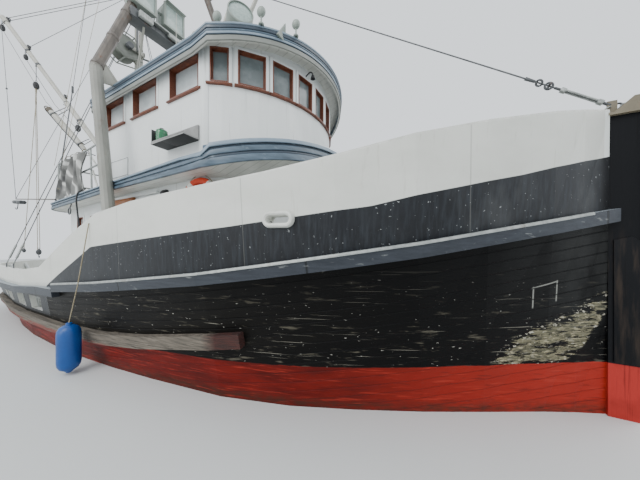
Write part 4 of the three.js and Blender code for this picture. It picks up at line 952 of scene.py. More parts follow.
def window(width, height, depth, curved):
    """The four pieces of one window in its own frame, with its middle at the origin."""
    behind = -0.03 if curved else -0.001
    half, low = width / 2, -height / 2
    liner = moulding(rectangle(width, height), [
        (-0.002, behind), (-0.002, 0.012), (-0.020, 0.014), (-0.024, 0.006), (-0.024, -depth + 0.018),
        (-0.038, -depth + 0.018), (-0.038, -depth), (-0.002, -depth)])
    casing = moulding(rectangle(width + 2 * CASING_WIDTH, height + 2 * CASING_WIDTH), [
        (0, behind), (0, 0.009), (-0.006, 0.013), (-0.044, 0.013), (-0.050, 0.009), (-0.050, behind)])
    sill = prism([(low - 0.052, behind), (low - 0.052, 0.036), (low - 0.040, 0.044), (low - 0.014, 0.030),
                  (low - 0.006, behind)], "X", -half - SILL_REACH, half + SILL_REACH, 0.003)
    pane = slab((-half + PANE_MARGIN, low + PANE_MARGIN, -depth + 0.004),
                (half - PANE_MARGIN, -low - PANE_MARGIN, -depth + 0.010))
    glass = FRONT_GLASS if curved else SIDE_GLASS
    return (liner, "liner", VARNISH), (casing, "casing", WALL), (sill, "sill", VARNISH), (pane, "glass", glass)


def set_windows(label, size, frames, curved=False, depth=0.10):
    """One window modelled once and copied to each of its frames."""
    for piece, part, finish in window(*size, depth, curved):
        for index, matrix in enumerate(frames[1:], 2):
            settle(copied(piece, matrix), f"{label}_{part}_{index}", finish)
        settle(placed(piece, frames[0]), f"{label}_{part}_1", finish)


FRONT_WINDOWS = ((0, 0.37), (12.7, 0.39), (26.2, 0.41), (40.6, 0.46), (54.1, 0.30))  # degrees off the bow, width
FRONT_MIDDLE_Z, FRONT_HEIGHT = 5.135, 0.57
SIDE_WINDOWS = ((5.43, 6.23), (6.64, 7.48), (7.84, 8.67))  # fore and aft edges, aft of the stem
SIDE_MIDDLE_Z, SIDE_HEIGHT = 5.065, 0.55
CABIN_WINDOWS = (9.25, 10.0)  # middles, aft of the stem
CABIN_MIDDLE_Z, CABIN_SIZE = 2.575, (0.35, 0.65)
SHALLOW = 0.07
for number, (degrees, width) in enumerate(FRONT_WINDOWS, 1):
    turns = [math.radians(degrees)] + ([-math.radians(degrees)] if degrees else [])
    places = [on_front(turn, FRONT_MIDDLE_Z) for turn in turns]
    set_windows(f"front_window_{number}", (width, FRONT_HEIGHT), places, True, SHALLOW)
for number, (fore, aft) in enumerate(SIDE_WINDOWS, 1):
    places = [on_side(STEM_X - (fore + aft) / 2, SIDE_MIDDLE_Z, sign) for _, sign in SIDES]
    set_windows(f"side_window_{number}", (aft - fore, SIDE_HEIGHT), places)
for number, aft in enumerate(CABIN_WINDOWS, 1):
    places = [on_side(STEM_X - aft, CABIN_MIDDLE_Z, sign) for _, sign in SIDES]
    set_windows(f"cabin_window_{number}", CABIN_SIZE, places, depth=SHALLOW)

# Blinds, a console, the wheel and a chair that show dimly through the glass
WHEELHOUSE_FLOOR_Z = 3.50
WHEEL = Vector((3.15, 0, 4.62))
CHAIR_X, CHAIR_Y = 2.44, -0.5
for number, (fore, aft) in enumerate(SIDE_WINDOWS[:2], 1):
    x0, x1 = STEM_X - aft + 0.03, STEM_X - fore - 0.03
    blind = prism([(x0, 4.83), (x1, 4.83), (x1, 5.32), (x0 + 0.10, 5.32), (x0, 5.18)], "Y", -1.775, -1.765)
    settle(blind, f"side_blind_{number}", BLIND)
sweep = [math.radians(-60 + 5 * i) for i in range(25)]
console = moulding([(FRONT_CENTRE_X + 1.75 * math.cos(a), 1.75 * math.sin(a), 3.55) for a in sweep],
                   [(0.10, 0), (0.16, 1.06), (0.12, 1.12), (-0.28, 1.16), (-0.33, 1.10), (-0.14, 0.95), (-0.14, 0)],
                   closed=False)
settle(console, "wheelhouse_console", CABIN)
wheel = [hoop(WHEEL, (1, 0, 0.35), 0.26, 0.018)]
wheel += [rod(WHEEL, (3.15 - 0.09 * math.sin(a), 0.25 * math.cos(a), 4.62 + 0.235 * math.sin(a)), 0.010, sides=10)
          for a in [math.pi / 3 * i for i in range(6)]]
settle(joined(*wheel), "steering_wheel", VARNISH)
chair_foot = (CHAIR_X, CHAIR_Y, WHEELHOUSE_FLOOR_Z)
chair = joined(slab((2.2, -0.75, 4.28), (2.68, -0.25, 4.38), 0.03),
               slab((2.18, -0.75, 4.35), (2.26, -0.25, 4.95), 0.03),
               rod(chair_foot, (CHAIR_X, CHAIR_Y, 4.28), 0.045), rod(chair_foot, (CHAIR_X, CHAIR_Y, 3.53), 0.20))
settle(chair, "helm_chair", BLACK)


# Stepped mouldings round the boat deck and the roof
def deck_path(half, radius, end_x, corner, line):
    """The outline of a deck, bow round to port, aft, and back to starboard, at the heights of a line."""
    edge = math.asin(half / radius)
    front = [(FRONT_CENTRE_X + radius * math.cos(a), radius * math.sin(a))
             for a in [-edge + 2 * edge * i / 48 for i in range(49)]]
    sides = [x for x in (3.7, 3.69, 3.2, 2.4, 1.1, 0.2) if end_x + corner + 0.05 < x < front[0][0] - 0.005]
    bend = [math.pi / 2 * i / 8 for i in range(9)]
    port = [(x, half) for x in sides]
    port += [(end_x + corner - corner * math.sin(a), half - corner + corner * math.cos(a)) for a in bend]
    plan = front + port + [(x, -y) for x, y in reversed(port)]
    return [(x, y, line(x)) for x, y in plan]


def line_of(column, above=0.0):
    """A line of the decks or the roof, as a height for each place along the boat."""
    return lambda x: level(column, x) + above


def edge_strips(label, outline, top, under, rows):
    """Strips one over another: (finish, share of the height from, to, how far out)."""
    depth = top(MEAN_X) - under(MEAN_X)
    for number, (finish, low, high, out) in enumerate(rows, 1):
        def base(x, low=low):
            return under(x) + low * (top(x) - under(x))

        tall = (high - low) * depth
        strip = moulding(deck_path(*outline, base), [
            (-0.01, 0), (out - 0.006, 0), (out, 0.006), (out, tall - 0.008), (out - 0.008, tall), (-0.01, tall)])
        # the visor is deeper than the side, so its strips are stretched to match
        for corner in strip.data.vertices:
            x = corner.co.x
            corner.co.z = base(x) + (corner.co.z - base(x)) * ((top(x) - under(x)) / depth)
        settle(strip, f"{label}_strip_{number}", finish)


MEAN_X = 3.0
LIP = 0.012
SKIRT = 0.24
edge_strips("boat_deck", (2.25, 2.70, -2.4, 0.45), line_of(DECK_TOP, LIP), line_of(DECK_UNDER),
            ((TRIM, -0.04, 0.30, 0.030), (DARK_TRIM, 0.30, 0.44, 0.010), (TRIM, 0.44, 0.70, 0.022),
             (DARK_TRIM, 0.70, 0.80, 0.012), (LIGHT_TRIM, 0.80, 1.0, 0.040)))
# The roof edge's lowest strip takes the soffit's painted shade.
edge_strips("roof", (2.07, 2.48, -0.5, 0.20), line_of(ROOF_TOP, LIP), line_of(ROOF_TOP, -SKIRT),
            ((SHADED_SOFFIT, -0.03, 0.30, 0.008), (DARK_TRIM, 0.30, 0.36, 0.018), (LIGHT_TRIM, 0.36, 0.54, 0.012),
             (TRIM, 0.54, 0.66, 0.016), (DARK_TRIM, 0.66, 0.86, 0.026), (LIGHT_TRIM, 0.86, 1.0, 0.034)))

# Cap rails on the bulwarks, and a bright half-round along the top of the upper guard
CAP_THICKNESS = 0.022
for side, sign in SIDES:
    for part in ("forward", "aft"):
        cap = skin(f"bulwark_{part}_{side}", lambda centre, normal: normal.z > 0.5 and centre.z > 1.4, CAP_THICKNESS)
        settle(cap, f"cap_rail_{part}_{side}", WHITE)

# Place aft of the stem, half width and height of the rail line
RAIL_LINE = ((0.35, 0.430, 2.555), (0.7, 0.720, 2.480), (1.4, 1.250, 2.340), (2.1, 1.720, 2.200),
             (2.9, 2.050, 2.070), (3.7, 2.250, 1.950), (4.2, 2.335, 1.880), (4.7, 2.420, 1.810),
             (6.1, 2.550, 1.660), (7.1, 2.625, 1.560), (8.0, 2.670, 1.490), (8.55, 2.697, 1.444))
bead = moulding([(STEM_X - aft, -half, z - 0.004) for aft, half, z in reversed(RAIL_LINE)],
                [(0.085, 0.001), (0.085, 0.010), (0.100, 0.014), (0.113, 0.008), (0.117, -0.004), (0.117, -0.022),
                 (0.109, -0.024), (0.109, 0.001)], closed=False)
settle(copied(bead, MIRROR), "guard_bead_port", GALVANISED)
settle(bead, "guard_bead_starboard", GALVANISED)

# White fairleads over the hawse holes
HAWSE_X, HAWSE_Z = 5.05, 2.47
HAWSE_HALF = 2.25 + 0.08 * (HAWSE_Z - 1.95) / 1.06 - 0.026
HAWSE_LEAN = math.atan2(0.09, 0.52)


def oval(half_width, half_height, steps=10):
    """A stadium outline, counterclockwise, in local X and Y."""
    straight = half_width - half_height
    right = [(straight + half_height * math.cos(a), half_height * math.sin(a), 0)
             for a in [-math.pi / 2 + math.pi * i / steps for i in range(steps + 1)]]
    return right + [(-x, -y, z) for x, y, z in right]


for side, sign in SIDES:
    lip = moulding(oval(0.200, 0.098), [
        (0, -0.02), (0, 0.020), (-0.012, 0.040), (-0.030, 0.046), (-0.048, 0.036), (-0.054, 0.015), (-0.054, -0.16),
        (-0.030, -0.16), (-0.030, -0.02)])
    place = wall_frame((HAWSE_X, sign * HAWSE_HALF, HAWSE_Z), sign * (math.pi / 2 - HAWSE_LEAN))
    settle(placed(lip, place), f"fairlead_{side}", WHITE)

# Sheathing of hard timber on the stem, edged with a metal strip
STEM_HALF, SHEATH = 0.1105, 0.016
for side, sign in SIDES:
    sheath = prism([(8.645, 0.70), (8.895, 0.70), (8.895, 2.20), (8.80, 2.28), (8.645, 2.24)], "Y",
                   *sorted((sign * STEM_HALF, sign * (STEM_HALF + SHEATH))), 0.004)
    settle(sheath, f"stem_sheathing_{side}", STEM)
    strip = slab((8.885, sign * 0.119 - 0.010, 0.72), (8.905, sign * 0.119 + 0.010, 3.75), 0.003)
    settle(strip, f"stem_strip_{side}", GALVANISED)

# Blank plate on each side of the wheelhouse
PLATE_X, PLATE_Z = 0.58, 3.83
for side, sign in SIDES:
    board = placed(slab((-0.36, -0.19, -0.001), (0.36, 0.19, 0.010), 0.003), on_side(PLATE_X, PLATE_Z, sign))
    settle(board, f"blank_plate_{side}", WALL)
    edge = moulding(rectangle(0.70, 0.36), [(0, 0.009), (0, 0.0125), (-0.008, 0.0125), (-0.008, 0.009)])
    settle(placed(edge, on_side(PLATE_X, PLATE_Z, sign)), f"blank_plate_edge_{side}", DARK_TRIM)

# Corner boards where the sides meet the curved front, as places along the wall and out of it
CORNER_BOARD = ((-0.10, -0.001), (-0.10, 0.010), (0.008, 0.010), (0.075, -0.040), (0.062, -0.050), (0.001, -0.001))
for side, sign in SIDES:
    outline = [(HOUSE_CORNER_X + along, sign * (HOUSE_HALF + out)) for along, out in CORNER_BOARD]
    for label, low, high in (("wheelhouse", 3.62, 5.30), ("deckhouse", 2.30, 3.27)):
        settle(prism(outline, "Z", low, high, 0.002), f"{label}_corner_board_{side}", WALL)

# Sidelights: a ribbed lens round each lamp, a black board behind it, and the shelf carried on along the screen
for (side, sign), glow in zip(SIDES, (GREEN_LAMP, RED_LAMP)):
    lamp_at = (2.45, sign * 2.1003, 3.93)
    lens = turned([(0, 0.02), (0.087, 0.02), (0.087, 0.035), (0.091, 0.045), (0.087, 0.055), (0.092, 0.075),
                   (0.087, 0.095), (0.093, 0.115), (0.087, 0.135), (0.092, 0.155), (0.087, 0.175), (0.088, 0.203),
                   (0.070, 0.222), (0.036, 0.234), (0, 0.237)], lamp_at, sides=36)
    settle(lens, f"sidelight_lens_{side}", glow)
    cap = turned([(0, 0.230), (0.032, 0.230), (0.036, 0.238), (0.030, 0.252), (0.012, 0.258), (0, 0.258)], lamp_at)
    settle(cap, f"sidelight_cap_{side}", BLACK)
    for part, finish, middle, half, (x0, x1), (z0, z1), bevel in (
            ("board", BLACK, 2.07, 0.125, (2.302, 2.318), (3.931, 4.16), 0.004),
            ("shelf", SCREEN, 2.06, 0.139, (2.612, 3.195), (3.901, 3.929), 0.003),
            ("lip", SCREEN, 2.196, 0.006, (2.33, 3.19), (3.929, 3.950), 0.003)):
        piece = slab((x0, sign * middle - half, z0), (x1, sign * middle + half, z1), bevel)
        settle(piece, f"sidelight_{part}_{side}", finish)

# A small black dome on the deckhouse wall, and a bent lamp under the roof in front
dome = turned([(0, 0.0), (0.085, 0.0), (0.085, 0.02), (0.070, 0.028), (0.066, 0.06), (0.045, 0.09), (0, 0.10)],
              (0, 0, 0))
settle(placed(dome, on_side(2.27, 3.11, -1)), "wall_dome", BLACK)
neck = pipe([(4.34, -0.47, 5.47), (4.40, -0.485, 5.50), (4.47, -0.50, 5.51), (4.52, -0.51, 5.47),
             (4.53, -0.512, 5.40)], 0.012, smooth_corners=True)
hood = turned([(0.010, 0.05), (0.022, 0.05), (0.040, 0.0), (0.045, -0.02), (0.040, -0.02), (0.018, 0.035),
               (0.010, 0.04)], (4.53, -0.512, 5.37))
settle(joined(neck, hood), "front_lamp", BLACK)

# Lifebuoy with its bands and grab line
BUOY = Vector((3.288, -1.974, 2.965))
BUOY_AXIS = Vector((math.cos(math.radians(-75)), math.sin(math.radians(-75)), 0))
BUOY_ACROSS = Vector((-BUOY_AXIS.y, BUOY_AXIS.x, 0))
EIGHTH_TURN = math.pi / 4


def buoy_point(angle, radius):
    return BUOY + (BUOY_ACROSS * math.cos(angle) + rise(1) * math.sin(angle)) * radius


for number in range(4):
    middle = EIGHTH_TURN + number * math.pi / 2
    arc = [buoy_point(middle + math.radians(step), 0.245) for step in (-9, -4.5, 0, 4.5, 9)]
    settle(pipe(arc, 0.0575, 24), f"buoy_band_{number + 1}", WHITE)
grab = []
for number in range(33):
    angle = number * math.tau / 32 + EIGHTH_TURN
    slack = abs(math.sin(2 * (angle - EIGHTH_TURN)))
    grab.append(buoy_point(angle, 0.304 + 0.035 * slack))
settle(pipe(grab, 0.006, 8), "buoy_line", ROPE)

# Floodlights on the crossbeam: a tapered box with fins, a glass front, a visor and a yoke
BEAM_X, BEAM_TOP_Z = 0.42, 7.54


def floodlight():
    """One lamp with its feet at the origin and its glass facing forward and down."""
    body = prism([(-0.18, 0.20), (0.14, 0.16), (0.14, 0.72), (-0.18, 0.66), (-0.24, 0.56), (-0.24, 0.30)], "Y",
                 -0.25, 0.25, 0.018)
    fins = [slab((-0.275, -0.21 + 0.07 * i, 0.30), (-0.20, -0.195 + 0.07 * i, 0.60), 0.004) for i in range(7)]
    rim = placed(moulding(rectangle(0.52, 0.58), [
        (0, -0.02), (0, 0.03), (-0.03, 0.04), (-0.045, 0.03), (-0.045, -0.02)]), wall_frame((0.145, 0, 0.44), 0))
    visor = slab((0.14, -0.25, 0.715), (0.27, 0.25, 0.727), 0.004)
    glass = slab((0.146, -0.225, 0.175), (0.158, 0.225, 0.705), 0.003)
    yoke = pipe([(0.0, -0.29, 0.46), (0.0, -0.29, 0.06), (0.0, -0.26, 0.03), (0.0, 0.26, 0.03), (0.0, 0.29, 0.06),
                 (0.0, 0.29, 0.46)], 0.016)
    knobs = [rod((0, end * 0.245, 0.46), (0, end * 0.315, 0.46), 0.032, sides=12, bevel=0.004) for end in (-1, 1)]
    foot = rod((0, 0, 0.0), (0, 0, 0.05), 0.05, bevel=0.006)
    shell = joined(body, *fins, visor)
    holder = joined(yoke, *knobs, foot, rim)
    return (shell, "shell", LAMP), (holder, "yoke", LAMP), (glass, "glass", LENS)


lamp_places = [Matrix.Translation((BEAM_X, y, BEAM_TOP_Z + 0.002)) for y in (-1.44, -0.745, 0.745, 1.44)]
for piece, part, finish in floodlight():
    for number, place in enumerate(lamp_places, 1):
        made = settle(copied(piece, place), f"floodlight_{part}_{number}", finish)
        if part == "shell":
            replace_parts(made, f"floodlight_{number}")
    bpy.data.objects.remove(piece)

# Crossbeam: flanges, a bright cable tray and stiffeners, a strip lamp, a junction box, and braces and hoses
for label, low, high in (("lower", 7.338, 7.352), ("upper", 7.528, 7.542)):
    settle(slab((0.245, -1.60, low), (0.595, 1.60, high), 0.004), f"crossbeam_{label}_flange", DARK_STEEL)
tray = [slab((x0, -1.50, 7.47), (x1, 1.50, z1), 0.003)
        for x0, x1, z1 in ((0.585, 0.60, 7.53), (0.60, 0.68, 7.478), (0.672, 0.68, 7.50))]
settle(joined(*tray), "crossbeam_cable_tray", GALVANISED)
for number, y in enumerate((-1.2, -0.4, 0.4, 1.2), 1):
    settle(slab((0.578, y - 0.005, 7.352), (0.592, y + 0.005, 7.528)), f"crossbeam_stiffener_{number}", DARK_STEEL)
strip_lamp = joined(slab((0.60, -0.95, 7.40), (0.70, -0.55, 7.465), 0.012),
                    slab((0.63, -0.93, 7.392), (0.69, -0.57, 7.402)))
settle(strip_lamp, "crossbeam_strip_lamp", GALVANISED)
box = [slab((0.594, -1.585, 7.365), (0.69, -1.30, 7.50), 0.012)]
box += [slab((0.688, -1.565 + 0.05 * i, 7.38), (0.697, -1.545 + 0.05 * i, 7.485), 0.002) for i in range(5)]
settle(joined(*box), "crossbeam_junction_box", GALVANISED)
for side, sign in SIDES:
    brace = rod((0.40, sign * 1.50, 7.36), (-2.60, sign * 0.09, 8.72), 0.030, sides=16)
    settle(brace, f"mast_brace_{side}", DARK_STEEL)
    hose = [(x, sign * y, z) for x, y, z in (
        (0.46, 1.40, 7.34), (0.30, 1.36, 7.02), (-0.60, 1.05, 6.86), (-1.80, 0.45, 7.25), (-2.56, 0.10, 7.75))]
    settle(pipe(hose, 0.024, 12, True), f"mast_hose_{side}", STEEL)

# Gantry legs: knee gussets, welded bands, brackets and foot bolts
LEG_FOOT_X, LEG_Y = 1.5, 2.37
KNEE = Vector((0.72, LEG_Y, 5.65))
SHOULDER = Vector((0.42, 1.71, 7.44))
BOLT_CIRCLE = 0.109
for side, sign in SIDES:
    gusset = prism([(2.315, 5.95), (2.30, 5.40), (1.96, 5.4745), (1.96, 5.52)], "X", 0.715, 0.735, 0.003)
    if sign < 0:
        outwards(placed(gusset, MIRROR))
    settle(gusset, f"knee_gusset_{side}", STEEL)
    stay = rod((0.72, sign * 2.32, 5.93), (0.72, sign * 1.99, 5.50), 0.022)
    settle(stay, f"knee_stay_{side}", STEEL)
    pad = slab((0.62, sign * 1.95 - 0.09, 5.4705), (0.82, sign * 1.95 + 0.09, 5.486), 0.004)
    settle(pad, f"knee_pad_{side}", STEEL)
    for number, share in enumerate((0.04, 0.50, 0.96), 1):
        middle = KNEE.lerp(SHOULDER, share)
        axis = (SHOULDER - KNEE).normalized() * 0.03
        middle.y *= sign
        axis.y *= sign
        settle(rod(middle - axis, middle + axis, 0.106, bevel=0.004), f"leg_band_{side}_{number}", BROWN_STEEL)
    foot_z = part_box(f"gantry_leg_{side}")[0].z
    bolts = []
    for turn in range(6):
        x = LEG_FOOT_X + BOLT_CIRCLE * math.cos(turn * math.pi / 3)
        y = sign * LEG_Y + BOLT_CIRCLE * math.sin(turn * math.pi / 3)
        bolts.append(rod((x, y, foot_z + 0.02), (x, y, foot_z + 0.078), 0.010, sides=6))
    settle(joined(*bolts), f"leg_bolts_{side}", GALVANISED)

# Mast: welded bands, a reel on a bracket with a guard, cleats and a head light
MAST_X = -2.7
REEL = Vector((MAST_X + 0.30, -0.55, 8.52))


def mast_radius(z):
    return 0.145 - 0.030 * (z - 0.68) / 10.52


def by_reel(x, y=0.0, z=0.0):
    return REEL + Vector((x, y, z))


for number, z in enumerate((2.1, 3.85, 4.15, 6.2, 8.05, 9.2, 10.6), 1):
    band = rod((MAST_X, 0, z - 0.035), (MAST_X, 0, z + 0.035), mast_radius(z) + 0.007, bevel=0.005)
    settle(band, f"mast_band_{number}", STEEL)
reel = [rod(by_reel(-0.20), by_reel(0.20), 0.16, sides=32)]
reel += [rod(by_reel(x0), by_reel(x1), 0.34, sides=40, bevel=0.006)
         for x0, x1 in ((-0.225, -0.195), (0.195, 0.225))]
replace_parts(settle(joined(*reel), "hauling_reel_drum", GEAR), "hauling_reel")
hub = joined(rod(by_reel(-0.33), by_reel(0.33), 0.055, bevel=0.008),
             rod(by_reel(0.25), by_reel(0.40), 0.095, bevel=0.012))
settle(hub, "hauling_reel_motor", DARK_STEEL)
arms = joined(slab((MAST_X + 0.585, -0.62, 8.46), (MAST_X + 0.605, -0.10, 8.58), 0.004),
              slab((MAST_X - 0.005, -0.62, 8.46), (MAST_X + 0.015, -0.10, 8.58), 0.004),
              slab((MAST_X - 0.005, -0.145, 8.44), (MAST_X + 0.605, -0.112, 8.60), 0.006))
settle(arms, "hauling_reel_bracket", STEEL)
GUARD_HOOP = ((0.40, 0.10), (0.16, 0.37), (-0.22, 0.37), (-0.40, 0.10), (-0.37, -0.24), (-0.10, -0.40), (0.40, -0.26))
GUARD_BARS = ((0.16, 0.37), (-0.22, 0.37), (-0.40, 0.10), (-0.10, -0.40))
GUARD_HALF = 0.27
guard = [pipe([by_reel(out, y, z) for y, z in GUARD_HOOP], 0.020, 10) for out in (-GUARD_HALF, GUARD_HALF)]
guard += [rod(by_reel(-GUARD_HALF, y, z), by_reel(GUARD_HALF, y, z), 0.018, sides=10) for y, z in GUARD_BARS]
settle(joined(*guard), "hauling_reel_guard", GEAR)
for number, (z, y) in enumerate(((1.75, -0.16), (1.75, 0.16), (2.55, 0.16)), 1):
    cleat = joined(rod((MAST_X, y * 0.8, z), (MAST_X, y * 1.35, z), 0.018),
                   rod((MAST_X, y * 1.35, z - 0.11), (MAST_X, y * 1.35, z + 0.11), 0.016, 0.012, bevel=0.004))
    settle(cleat, f"mast_cleat_{number}", GALVANISED)
head_light = turned([(0, 0), (0.05, 0), (0.05, 0.03), (0.038, 0.035), (0.042, 0.12), (0.03, 0.15), (0, 0.155)],
                    (MAST_X, 0, 11.2))
settle(head_light, "masthead_light", WHITE)

# Blocks, lines and bands of the boom, which swing and lift with it
BOOM_ALONG = Vector((math.cos(BOOM_SWING) * math.cos(BOOM_RAISE), math.sin(BOOM_SWING) * math.cos(BOOM_RAISE),
                     math.sin(BOOM_RAISE)))
BOOM_SIDE = Vector((-math.sin(BOOM_SWING), math.cos(BOOM_SWING), 0))
BOOM_UP = BOOM_ALONG.cross(BOOM_SIDE)
DOWN = rise(-1)


def on_boom(reach, lift=0.0, aside=0.0):
    """A place beside the boom, by how far it is from the heel."""
    return BOOM_HEEL + BOOM_ALONG * reach + BOOM_UP * lift + BOOM_SIDE * aside


def pulley(eye, size):
    """A wooden block that hangs from an eye: cheeks, sheave, strap and becket."""
    side = DOWN.cross(Vector((0.3, 0.95, 0.1))).normalized()
    middle = Vector(eye) + DOWN * size * 1.25
    turn = Matrix((side, DOWN.cross(side), DOWN)).transposed().to_4x4()
    parts = [placed(globe((0, 0, 0), size, (0.16, 0.62, 0.95), sides=20),
                    Matrix.Translation(middle + side * shift * size) @ turn) for shift in (-0.30, 0.30)]
    for half, radius, sides in ((0.22, 0.55, 20), (0.55, 0.12, 10)):
        parts.append(rod(middle - side * half * size, middle + side * half * size, size * radius, sides=sides))
    parts.append(hoop(Vector(eye) + DOWN * size * 0.10, side, size * 0.20, size * 0.055, 20, 8))
    parts.append(rod(Vector(eye) + DOWN * size * 0.22, middle - DOWN * size * 0.3, size * 0.10, sides=10))
    return joined(*parts), middle + DOWN * size


for number, reach in enumerate((0.55, 2.62, 3.30, 4.72, 5.22, 6.25), 1):
    radius = (0.080 if reach < 3.3 else 0.062) + (0.012 if reach == 3.30 else 0.006)
    band = rod(on_boom(reach - 0.035), on_boom(reach + 0.035), radius, sides=28, bevel=0.004)
    eye = hoop(on_boom(reach, -radius - 0.014), BOOM_SIDE, 0.022, 0.007, 16, 8)
    settle(joined(band, eye), f"boom_band_{number}", DARK_STEEL, "boom_body")

# Each block: its place along the boom, the length of its pendant, and its size
block_ends = {}
for label, reach, below, size in (("tip", 6.33, 0.10, 0.10), ("upper", 5.22, 0.05, 0.09), ("fall", 4.72, 0.50, 0.12),
                                  ("low", 2.62, 0.06, 0.12)):
    start = on_boom(reach, -0.075)
    eye = start + DOWN * below
    block, block_ends[label] = pulley(eye, size)
    settle(block, f"boom_block_{label}", BLACK, "boom_body")
    settle(rod(start, eye, 0.009, sides=8), f"boom_pendant_{label}", WIRE, "boom_body")
for label, reach in (("tip", 6.30), ("upper", 5.32), ("vang", 3.50)):
    jaw = joined(rod(on_boom(reach - 0.07, 0.085), on_boom(reach + 0.07, 0.105), 0.030, sides=16, bevel=0.006),
                 hoop(on_boom(reach, 0.115), BOOM_SIDE, 0.036, 0.012, 18, 8))
    settle(jaw, f"boom_jaw_{label}", BLACK, "boom_body")


def stretched_line(name, finish, radius, start, end):
    """A straight line between two points, which rides on no body."""
    line = settle(rod(start, end, radius, sides=8), name, finish, None)
    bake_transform(line)


# Falls hang from the upper block: two parts to a hook block, one to a small block
FALL_HOOK = Vector((-4.97, -1.80, 2.06))
FALL_RUNNER = Vector((-5.60, -1.98, 2.10))
for number, (above, end, below) in enumerate(((-0.03, FALL_RUNNER, 0.0), (0.0, FALL_HOOK, -0.04),
                                              (0.03, FALL_HOOK, 0.04)), 1):
    stretched_line(f"boom_fall_{number}", ROPE, 0.008,
                   block_ends["fall"] + BOOM_SIDE * above + rise(0.06), end + BOOM_SIDE * below)
hook_block, hook_end = pulley(FALL_HOOK + rise(0.05), 0.10)
hook = pipe([hook_end + Vector((x, 0, z)) for x, z in (
    (0, 0), (0, -0.05), (0.03, -0.08), (0.06, -0.07), (0.07, -0.03))], 0.011, smooth_corners=True)
settle(joined(hook_block, hook), "boom_fall_hook", DARK_STEEL, "gooseneck")
runner_block, _ = pulley(FALL_RUNNER + rise(0.02), 0.07)
settle(runner_block, "boom_fall_runner", DARK_STEEL, "gooseneck")
whip = [block_ends["tip"] + rise(0.05), on_boom(3.6, -0.50), on_boom(3.38, -0.46)]
settle(pipe(whip, 0.006, 8), "boom_whip", WIRE, "boom_body")
whip = [block_ends["upper"] + rise(0.04), on_boom(3.42, -0.33), block_ends["low"] + rise(0.05)]
settle(pipe(whip, 0.007, 8), "boom_whip_inner", WIRE, "boom_body")

# The lower spar under the boom, with its head fitting, a foot rope along it and its hangers
SPAR_FOOT, SPAR_HEAD = on_boom(1.80, -0.42), on_boom(3.36, -0.56)
spar = turned([(0, -0.05), (0.045, -0.05), (0.060, 0.0), (0.082, 0.25), (0.094, 0.7), (0.090, 1.2), (0.074, 1.50),
               (0.070, 1.58), (0, 1.58)], SPAR_FOOT, SPAR_HEAD - SPAR_FOOT, sides=28)
settle(spar, "lower_spar", CREAM_STEEL, "boom_body")
cap = joined(rod(on_boom(3.28, -0.553), on_boom(3.40, -0.563), 0.084, sides=24, bevel=0.008),
             hoop(on_boom(3.46, -0.60), BOOM_SIDE, 0.045, 0.014, 18, 8))
settle(cap, "lower_spar_cap", BARE_TIMBER, "boom_body")
foot_rope = [on_boom(reach, lift) for reach, lift in ((3.42, -0.66), (2.6, -0.60), (1.72, -0.50), (1.42, -0.27))]
settle(pipe(foot_rope, 0.016, 10), "spar_foot_rope", BLACK, "boom_body")
for number, reach in enumerate((1.95, 3.15), 1):
    depth = 0.42 + 0.09 * (reach - 1.80)
    straps = [rod(on_boom(reach, -0.085, side * 0.055), on_boom(reach, -depth, side * 0.088), 0.011, sides=10)
              for side in (1, -1)]
    collar = rod(on_boom(reach - 0.02, -depth), on_boom(reach + 0.02, -depth - 0.002), 0.099, sides=24, bevel=0.004)
    settle(joined(*straps, collar), f"spar_hanger_{number}", DARK_STEEL, "boom_body")

# Topping lifts run from the masthead, on the swing axis, to the boom
for label, reach, aside, radius in (("tip_starboard", 6.30, 0.045, 0.008), ("tip_port", 6.30, -0.045, 0.008),
                                    ("upper", 5.32, 0.0, 0.007)):
    stretched_line(f"topping_lift_{label}", WIRE, radius,
                   MASTHEAD + BOOM_SIDE * aside, on_boom(reach, 0.115, aside))

# A tag line runs from the boom's tip by a thimble to the thin pole, in two parts
THIN_WIRE = 0.006
POLE_FOOT, POLE_END = Vector((-1.90, -2.24, 3.34)), Vector((-3.76, -2.50, 3.475))
TAG_TOP = on_boom(6.36, -0.10)
TAG_THIMBLE = TAG_TOP.lerp(POLE_END, 0.42)
stretched_line("tag_line_upper", WIRE, THIN_WIRE, TAG_TOP, TAG_THIMBLE)
stretched_line("tag_line_lower", WIRE, THIN_WIRE, TAG_THIMBLE, POLE_END)
settle(hoop(TAG_THIMBLE, BOOM_SIDE, 0.022, 0.009, 16, 8), "tag_line_thimble", DARK_STEEL, "gooseneck")

# A preventer from the crosstree to the corner of the boat deck, thin above its splice, and a lift for the thin pole
CROSSTREE_END = Vector((MAST_X, -1.27, 10.60))
DECK_CORNER = Vector((-2.09, -2.18, 3.27))
SPLICE = CROSSTREE_END.lerp(DECK_CORNER, 0.56)
preventer = joined(rod(CROSSTREE_END, SPLICE, THIN_WIRE, sides=8), rod(SPLICE, DECK_CORNER, 0.012, 0.017, sides=12),
                   rod(SPLICE + rise(0.09), SPLICE - rise(0.09), 0.026, sides=14, bevel=0.006))
settle(preventer, "corner_preventer", DARK_STEEL)
settle(rod((MAST_X, -0.13, 10.98), POLE_END + rise(0.012), THIN_WIRE, sides=8), "pole_lift", WIRE)

